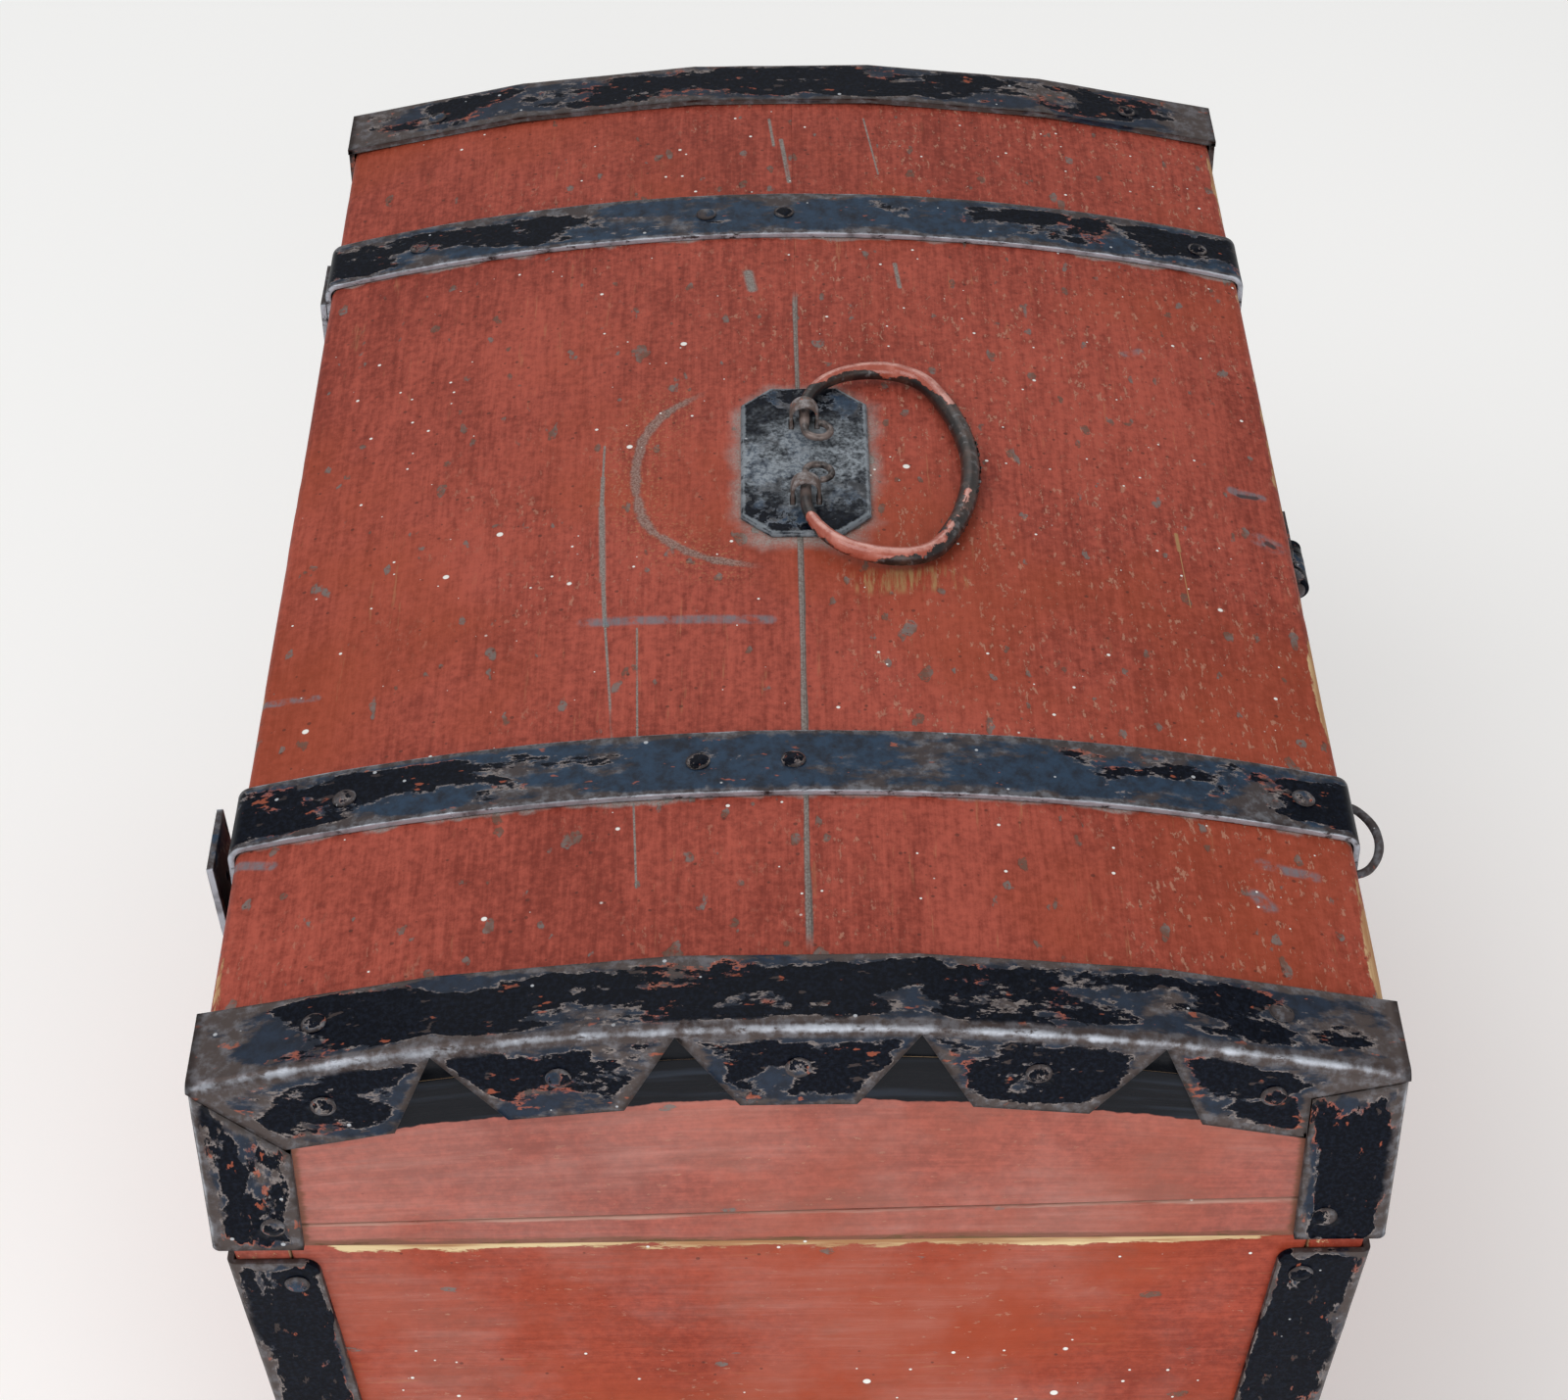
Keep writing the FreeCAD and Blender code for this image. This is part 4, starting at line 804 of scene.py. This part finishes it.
def lidTopBoard(name, node, face, seed):
    yLow, yHigh = sorted((face * lidY, seamY + face * topBoard["seamGap"]))
    low = Vector((-lidX, yLow, crown - topThick))
    high = Vector((lidX, yHigh, crown))
    outer = face * lidY
    worn = topBoard["wornFront"] if face < 0 else topBoard["wornBack"]

    def atEave(middle):
        return abs(middle.y - outer) < 1e-5 and abs(middle.z - crown) < 1e-5

    def wornAt(at):
        if abs(at.y - outer) > topBoard["eaveReach"] or at.z < crown - topThick * topBoard["wornLow"]:
            return 0.0
        swing = topBoard["wornSwing"] * noise.noise(Vector((at.x * topBoard["wornRate"], seed * 3.0, 0)))
        return worn * (topBoard["wornMean"] + swing)
    bm = boardBlock(low, high, topBoard["edge"], topBoard["spacing"], 0, seed, wornAt, atEave,
                    topBoard["eaveRound"])
    for vert in bm.verts:
        sunk = crown - vert.co.z
        onTop = sunk < topThick / 2
        x, y = vert.co.x, vert.co.y
        for dentX, dentY, reach, depth in topBoard["dents"]:
            share = ((x - dentX) ** 2 + (y - dentY) ** 2) / reach ** 2
            if onTop and share < 1:
                vert.co.z -= depth * (1 - share) ** 2
        toEave = abs(y - outer)
        if onTop and toEave < topBoard["nickReach"]:
            at = Vector((x / topBoard["nickSize"], seed * 9.0, y / topBoard["nickAcross"]))
            nick = max(0.0, noise.noise(at) - topBoard["nickFrom"])
            vert.co.z -= nick * topBoard["nickDepth"] * (1 - toEave / topBoard["nickReach"])
        vert.co.z += math.sqrt((domeRadius - sunk) ** 2 - y * y) + domeAxis - (crown - sunk)
    roughen(bm, topBoard["waviness"], topBoard["waveSize"], seed,
            lambda at: abs(at.y - seamY) < topBoard["seamKept"])
    paintInside(bm, lambda normal, middle: normal.z < -0.6)
    return keepPiece(name, bm, "lid", [node], [redTop, pine])


lidTopBoard("lidTopFront", "lid_top_front_board", -1, 1)
lidTopBoard("lidTopBack", "lid_top_back_board", 1, 2)


def lidRail(name, node, seed):
    low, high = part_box(node)
    bm = boardBlock(low, high, sideBoard["edge"], sideBoard["spacing"], 0, seed,
                    lambda at: sideBoard["railWear"])
    middle = (low.y + high.y) / 2
    for vert in bm.verts:
        share = (vert.co.z - low.z) / (high.z - low.z)
        vert.co.z -= share * (high.z - underDome(vert.co.y))
    roughen(bm, sideBoard["waviness"], sideBoard["waveSize"], seed)
    paintInside(bm, lambda normal, at: normal.y * middle < -0.05 or abs(normal.z) > 0.7)
    return keepPiece(name, bm, "lid", [node], [redSide, pine])


lidRail("lidRailFront", "lid_front_rail", 3)
lidRail("lidRailBack", "lid_back_rail", 4)


def lidEndBoard(name, node, seed, wornAt, footAt, topAt, isInside):
    # board between two lines that run across the lid
    low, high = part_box(node)
    bm = boardBlock(low, high, sideBoard["edge"], sideBoard["endSpacing"], 1, seed, wornAt)
    for vert in bm.verts:
        share = (vert.co.z - low.z) / (high.z - low.z)
        foot = footAt(vert.co.y)
        vert.co.z = foot + share * (topAt(vert.co.y) - foot)
    roughen(bm, sideBoard["waviness"], sideBoard["waveSize"], seed)
    paintInside(bm, isInside)
    return keepPiece(name, bm, "lid", [node], [redEnd, pine])


for name, side, seed in (("left", -1, 5), ("right", 1, 6)):
    lidEndBoard("lidEnd." + name, "lid_" + name + "_end_board", seed, lambda at: 0.0,
                lambda y: stripTop(y) + sideBoard["stripGap"], underDome,
                lambda normal, at: normal.x * side < -0.5)
    lidEndBoard("lidEndStrip." + name, "lid_" + name + "_end_strip", seed + 0.5,
                lambda at: sideBoard["stripWear"] * (at.z < lidLow + sideBoard["stripFront"] / 2),
                lambda y: lidLow, stripTop, lambda normal, at: normal.x * side < -0.5 or normal.z < -0.7)

boxBoard = {"edge": 0.0012, "spacing": 0.007, "waviness": 0.0003, "waveSize": 0.07, "rimWear": 0.95,
            "rimSwing": 0.30, "rimRate": 11, "rimDepth": 0.02, "footWear": 0.40, "cornerKept": 0.010,
            "bottomSpacing": 0.012, "bottomWear": 0.5, "bottomWaviness": 0.0001}


def boxSide(name, node, low, high, along, seed, sway, isInside):
    def wornAt(at):
        toCorner = min(at[along] - low[along], high[along] - at[along])
        if at.z < rim - boxBoard["rimDepth"] or toCorner < boxBoard["cornerKept"]:
            return boxBoard["footWear"]
        swing = noise.noise(Vector((at[along] * boxBoard["rimRate"], seed * 5.0, 0)))
        return boxBoard["rimWear"] + boxBoard["rimSwing"] * swing
    bm = boardBlock(low, high, boxBoard["edge"], boxBoard["spacing"], along, seed, wornAt)
    for vert in bm.verts:
        lean = taper * (rim - vert.co.z)
        vert.co += sway(vert.co, lean)
    roughen(bm, boxBoard["waviness"], boxBoard["waveSize"], seed)
    paintInside(bm, isInside)
    return keepPiece(name, bm, "box", [node], [redBox, pine])


boxFoot = bottomHigh.z
for name, face, seed in (("front", -1, 7), ("back", 1, 8)):
    ys = sorted((face * boxY, face * (boxY - boxWall)))
    low = Vector((-boxX, ys[0], boxFoot))
    boxSide("boxSide." + name, "box_" + name + "_board", low, Vector((boxX, ys[1], rim)), 0, seed,
            lambda at, lean: Vector((-at.x / boxX * lean, -face * lean, 0)),
            lambda normal, at: normal.y * face < -0.5)
for name, side, seed in (("left", -1, 9), ("right", 1, 10)):
    xs = sorted((side * boxX, side * (boxX - boxWall)))
    inner = boxY - boxWall
    low = Vector((xs[0], -inner, boxFoot))
    boxSide("boxEnd." + name, "box_" + name + "_end_board", low, Vector((xs[1], inner, rim)), 1, seed,
            lambda at, lean: Vector((-side * lean, -at.y / inner * lean, 0)),
            lambda normal, at: normal.x * side < -0.5)


def bottomBoard():
    low = Vector((-bottomHigh.x, -bottomHigh.y, 0))
    bm = boardBlock(low, bottomHigh, boxBoard["edge"], boxBoard["bottomSpacing"], 0, 11,
                    lambda at: boxBoard["bottomWear"])
    for vert in bm.verts:
        lean = taper * (bottomHigh.z - vert.co.z)
        vert.co.x -= vert.co.x / bottomHigh.x * lean
        vert.co.y -= vert.co.y / bottomHigh.y * lean
    roughen(bm, boxBoard["bottomWaviness"], boxBoard["waveSize"], 11)
    paintInside(bm, lambda normal, at: abs(normal.z) > 0.5)
    return keepPiece("boxBottom", bm, "box", ["box_bottom_board"], [redBox, pine])


bottomBoard()
print("boards made")

forged = {"edge": 0.00035, "spacing": 0.004, "depth": 0.0002, "lump": 0.011, "wearReach": 0.0042,
          "shortEdge": 0.0034, "round": 0, "flatAngle": 0.4, "edgeAngle": 25, "bevelAngle": 35,
          "edgeStep": 0.001, "passes": 7, "longest": 1.4, "smooth": 0.4}


def dropFlaps(bm):
    # two faces on the same corners are a fold with nothing inside
    found = {}
    for face in bm.faces:
        found.setdefault(frozenset(face.verts), []).append(face)
    flaps = [face for pair in found.values() if len(pair) > 1 for face in pair]
    bmesh.ops.delete(bm, geom=flaps, context="FACES")


def forgedMesh(node, along, highlightAndWearAt, seed, **changes):
    # the frame's own shape with eased, worn edges and hammer marks
    work = {**forged, **changes}
    bm = bmesh.new()
    bm.from_mesh(frame["nodes"][node].data)
    bmesh.ops.remove_doubles(bm, verts=bm.verts, dist=1e-6)
    bmesh.ops.dissolve_limit(bm, angle_limit=math.radians(work["flatAngle"]), verts=bm.verts, edges=bm.edges)

    def bentEdges(angle):
        return [e for e in bm.edges if e.is_manifold and e.calc_face_angle(0) > math.radians(angle)]
    points = []
    for e in bentEdges(work["edgeAngle"]):
        if e.calc_length() > work["shortEdge"]:
            start, end = e.verts[0].co, e.verts[1].co
            count = max(1, int((end - start).length / work["edgeStep"]))
            points.extend(start.lerp(end, i / count) for i in range(count + 1))
    nearEdge = KDTree(len(points) + 1)
    nearEdge.insert(Vector((9, 9, 9)), 0)  # far off, for a piece with no edges
    for i, point in enumerate(points):
        nearEdge.insert(point, i + 1)
    nearEdge.balance()
    bmesh.ops.bevel(bm, geom=bentEdges(work["bevelAngle"]), offset=work["edge"], segments=2, profile=0.5,
                    affect="EDGES", material=-1, clamp_overlap=True)
    bmesh.ops.triangulate(bm, faces=bm.faces)
    for step in range(work["passes"]):
        longEdges = [e for e in bm.edges if e.calc_length() > work["spacing"] * work["longest"]]
        if not longEdges:
            break
        bmesh.ops.subdivide_edges(bm, edges=longEdges, cuts=1)
        bmesh.ops.triangulate(bm, faces=[f for f in bm.faces if len(f.verts) > 3])
        dropFlaps(bm)
    for step in range(work["round"]):
        bmesh.ops.smooth_vert(bm, verts=bm.verts, factor=work["smooth"], use_axis_x=True, use_axis_y=True,
                              use_axis_z=True)
    wear = bm.verts.layers.float.new("wear")
    highlightAndWear = bm.verts.layers.float.new("highlightAndWear")
    grain = bm.verts.layers.float_vector.new("grain")
    for vert in bm.verts:
        distance = nearEdge.find(vert.co)[2]
        vert[wear] = max(0.0, 1.0 - distance / work["wearReach"])
        vert[highlightAndWear] = highlightAndWearAt(vert.co) if highlightAndWearAt else 0.0
        vert[grain] = grainOf(vert.co, along, seed)
    roughen(bm, work["depth"], work["lump"], seed)
    return bm


def forgedCopy(name, node, body, finish, along=1, highlightAndWearAt=None, slotName="black_iron", **changes):
    seed = len(bpy.data.objects) * 0.7  # each piece has hammer marks of its own
    bm = forgedMesh(node, along, highlightAndWearAt, seed, **changes)
    return keepPiece(name, bm, body, [node], [finish])


# painted highlight over worn bare metal along strap edges, folds and corners
bareMetalAndHighlight = {"strap": 0.0019, "strapMost": 0.96, "fold": 0.0042, "foldSink": 0.0012, "corner": 0.0042,
          "cornerMost": 0.85, "cornerSink": 0.0008, "boxCornerMost": 0.60}


def foldGlint(x, y, sink, reach):
    # 1 on a fold that stands one iron past the wood, x and y out from the wood's own corner
    return max(0.0, 1.0 - math.hypot(x - (iron - sink), y - (iron - sink)) / reach)


def strapHighlightAndWear(at):
    return bareMetalAndHighlight["strapMost"] * max(0.0, 1.0 - (strapHalf - abs(abs(at.x) - strapX)) / bareMetalAndHighlight["strap"])


def foldHighlightAndWear(at):
    radius = math.hypot(at.y, at.z - domeAxis)
    return foldGlint(abs(at.x) - lidX, radius - domeRadius, bareMetalAndHighlight["foldSink"], bareMetalAndHighlight["fold"])


def cornerHighlightAndWear(at):
    glint = foldGlint(abs(at.x) - lidX, abs(at.y) - lidY, bareMetalAndHighlight["cornerSink"], bareMetalAndHighlight["corner"])
    return bareMetalAndHighlight["cornerMost"] * glint


def boxCornerHighlightAndWear(at):
    sink = bareMetalAndHighlight["cornerSink"] + taper * (rim - at.z)
    return bareMetalAndHighlight["boxCornerMost"] * foldGlint(abs(at.x) - boxX, abs(at.y) - boxY, sink, bareMetalAndHighlight["corner"])


for side in ("left", "right"):
    forgedCopy("lidStrap." + side, "lid_strap_" + side, "lid", blackStrap, 1, strapHighlightAndWear)
    forgedCopy("lidEndIron." + side, "lid_end_iron_" + side, "lid", blackAngle, 1, foldHighlightAndWear, spacing=0.003)
    forgedCopy("boxStrap." + side, "box_front_strap_" + side, "box", blackStrap, 2, strapHighlightAndWear)
    forgedCopy("hingeStrap." + side, "hinge_strap_" + side, "box", blackStrap, 2, strapHighlightAndWear)
    forgedCopy("hingeLeaf." + side, "hinge_leaf_" + side, "lid", blackStrap, 2, strapHighlightAndWear)
    for face in ("front", "back"):
        tag = face + "_" + side
        forgedCopy("lidCorner." + tag, "lid_corner_iron_" + tag, "lid", blackCorner, 2, cornerHighlightAndWear,
                   spacing=0.003)
        forgedCopy("boxCorner." + tag, "box_corner_iron_" + tag, "box", blackBox, 2, boxCornerHighlightAndWear,
                   wearReach=0.003)
forgedCopy("handlePlate", "handle_plate", "lid", blackPlate, 0, spacing=0.0025, wearReach=0.003)
forgedCopy("haspStrap", "hasp", "hasp", blackHasp, 2, spacing=0.003)
forgedCopy("haspLeaf", "hasp_leaf", "lid", blackStrap, 2, spacing=0.003)
print("irons made")

bar = {"spacing": 0.002, "depth": 0.00035, "lump": 0.006, "shortEdge": 0.0, "wearReach": 0.0015, "round": 2}
for side in ("left", "right"):
    forgedCopy("handleEye." + side, "handle_eye_" + side, "lid", eyeIron, 1, None, "bare_iron",
               **{**bar, "spacing": 0.0014})
    forgedCopy("hingePin." + side, "hinge_pin_" + side, "box", darkIron, 0, None, "bare_iron", **bar)
forgedCopy("frontLoop", "front_loop", "lid", darkIron, 0, None, "bare_iron", **bar)
forgedCopy("haspPin", "hasp_pin", "lid", darkIron, 0, None, "bare_iron", **bar)
forgedCopy("haspStaple", "hasp_staple", "box", darkIron, 1, None, "bare_iron", **bar)
nail = {"spacing": 0.0016, "depth": 0.0004, "lump": 0.0032, "shortEdge": 0.0, "wearReach": 0.0012,
        "edge": 0.0002}
for group, body in (("lid_strap", "lid"), ("lid_end", "lid"), ("lid_corner", "lid"), ("lid_fitting", "lid"),
                    ("box_corner", "box"), ("box_strap", "box"), ("box_bottom", "box")):
    forgedCopy("nails." + group, group + "_nails", body, nailIron, 0, None, "bare_iron", **nail)


bail = {"spacing": 0.002, "depth": 0.0007, "lump": 0.012, "shortEdge": 0.0, "wearReach": 0.001, "round": 2}
bailWear = {"inward": 0.6, "below": 0.6, "seed": 3.7}


def bailPiece():
    bm = forgedMesh("handle_bail", 0, None, bailWear["seed"], **bail)
    low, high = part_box("handle_bail")
    middle = (low + high) / 2
    wear = bm.verts.layers.float["wear"]
    bm.normal_update()
    for vert in bm.verts:
        inward = Vector((middle.x - vert.co.x, middle.y - vert.co.y, 0)).normalized()
        gripped = max(0.0, vert.normal.dot(inward)) * bailWear["inward"]
        below = (1.0 - max(0.0, vert.normal.z)) * bailWear["below"]
        vert[wear] = min(1.0, gripped + below)
    return keepPiece("handleBail", bm, "bail", ["handle_bail"], [bailRed])


bailPiece()
print("fittings made")

# floor, light and camera
stage = {"floor": (0.93, 0.93, 0.92, 1), "size": 14.0, "matt": 0.8, "glow": 0.14, "sky": 0.45,
         "aim": (0, 0, 0.25),
         "lights": [("key", (-0.7, 0.9, 1.9), 1.3, 14.0), ("fill", (-1.9, -0.45, 0.85), 1.5, 17.0),
                    ("back", (1.2, 0.2, 1.8), 1.3, 7.0)]}


def setStage():
    bm = bmesh.new()
    bmesh.ops.create_grid(bm, x_segments=1, y_segments=1, size=stage["size"] / 2)
    mesh = bpy.data.meshes.new("floor")
    bm.to_mesh(mesh)
    bm.free()
    mat, shader = newFinish("floorPaper")
    shader.inputs["Base Color"].default_value = stage["floor"]
    shader.inputs["Roughness"].default_value = stage["matt"]
    shader.inputs["Emission Color"].default_value = stage["floor"]
    shader.inputs["Emission Strength"].default_value = stage["glow"]
    mesh.materials.append(mat)
    floor = bpy.data.objects.new("floor", mesh)
    bpy.context.scene.collection.objects.link(floor)
    world = bpy.data.worlds.new("studio")
    world.use_nodes = True
    world.node_tree.nodes["Background"].inputs[0].default_value = (1, 1, 1, 1)
    world.node_tree.nodes["Background"].inputs[1].default_value = stage["sky"]
    bpy.context.scene.world = world
    for name, at, size, power in stage["lights"]:
        light = bpy.data.lights.new(name, "AREA")
        light.size = size
        light.energy = power
        lamp = bpy.data.objects.new(name, light)
        lamp.location = at
        lamp.rotation_euler = (Vector(stage["aim"]) - Vector(at)).to_track_quat("-Z", "Y").to_euler()
        bpy.context.scene.collection.objects.link(lamp)


camera = {"lens": 78.347, "sensor": 36.0, "at": (-0.83189, 0.00592, 0.90082),
          "right": (-0.00947899, -0.99994022, -0.00544965), "forward": (0.77238608, -0.00386037, -0.63514159)}


def setCamera():
    data = bpy.data.cameras.new("camera")
    data.lens = camera["lens"]
    data.sensor_width = camera["sensor"]
    eye = bpy.data.objects.new("camera", data)
    right, forward = Vector(camera["right"]), Vector(camera["forward"])
    up = right.cross(forward)
    turn = Matrix((right, up, -forward)).transposed()
    eye.matrix_world = Matrix.Translation(camera["at"]) @ turn.to_4x4()
    bpy.context.scene.collection.objects.link(eye)
    bpy.context.scene.camera = eye


setStage()
setCamera()
bpy.context.scene.view_settings.view_transform = "Standard"
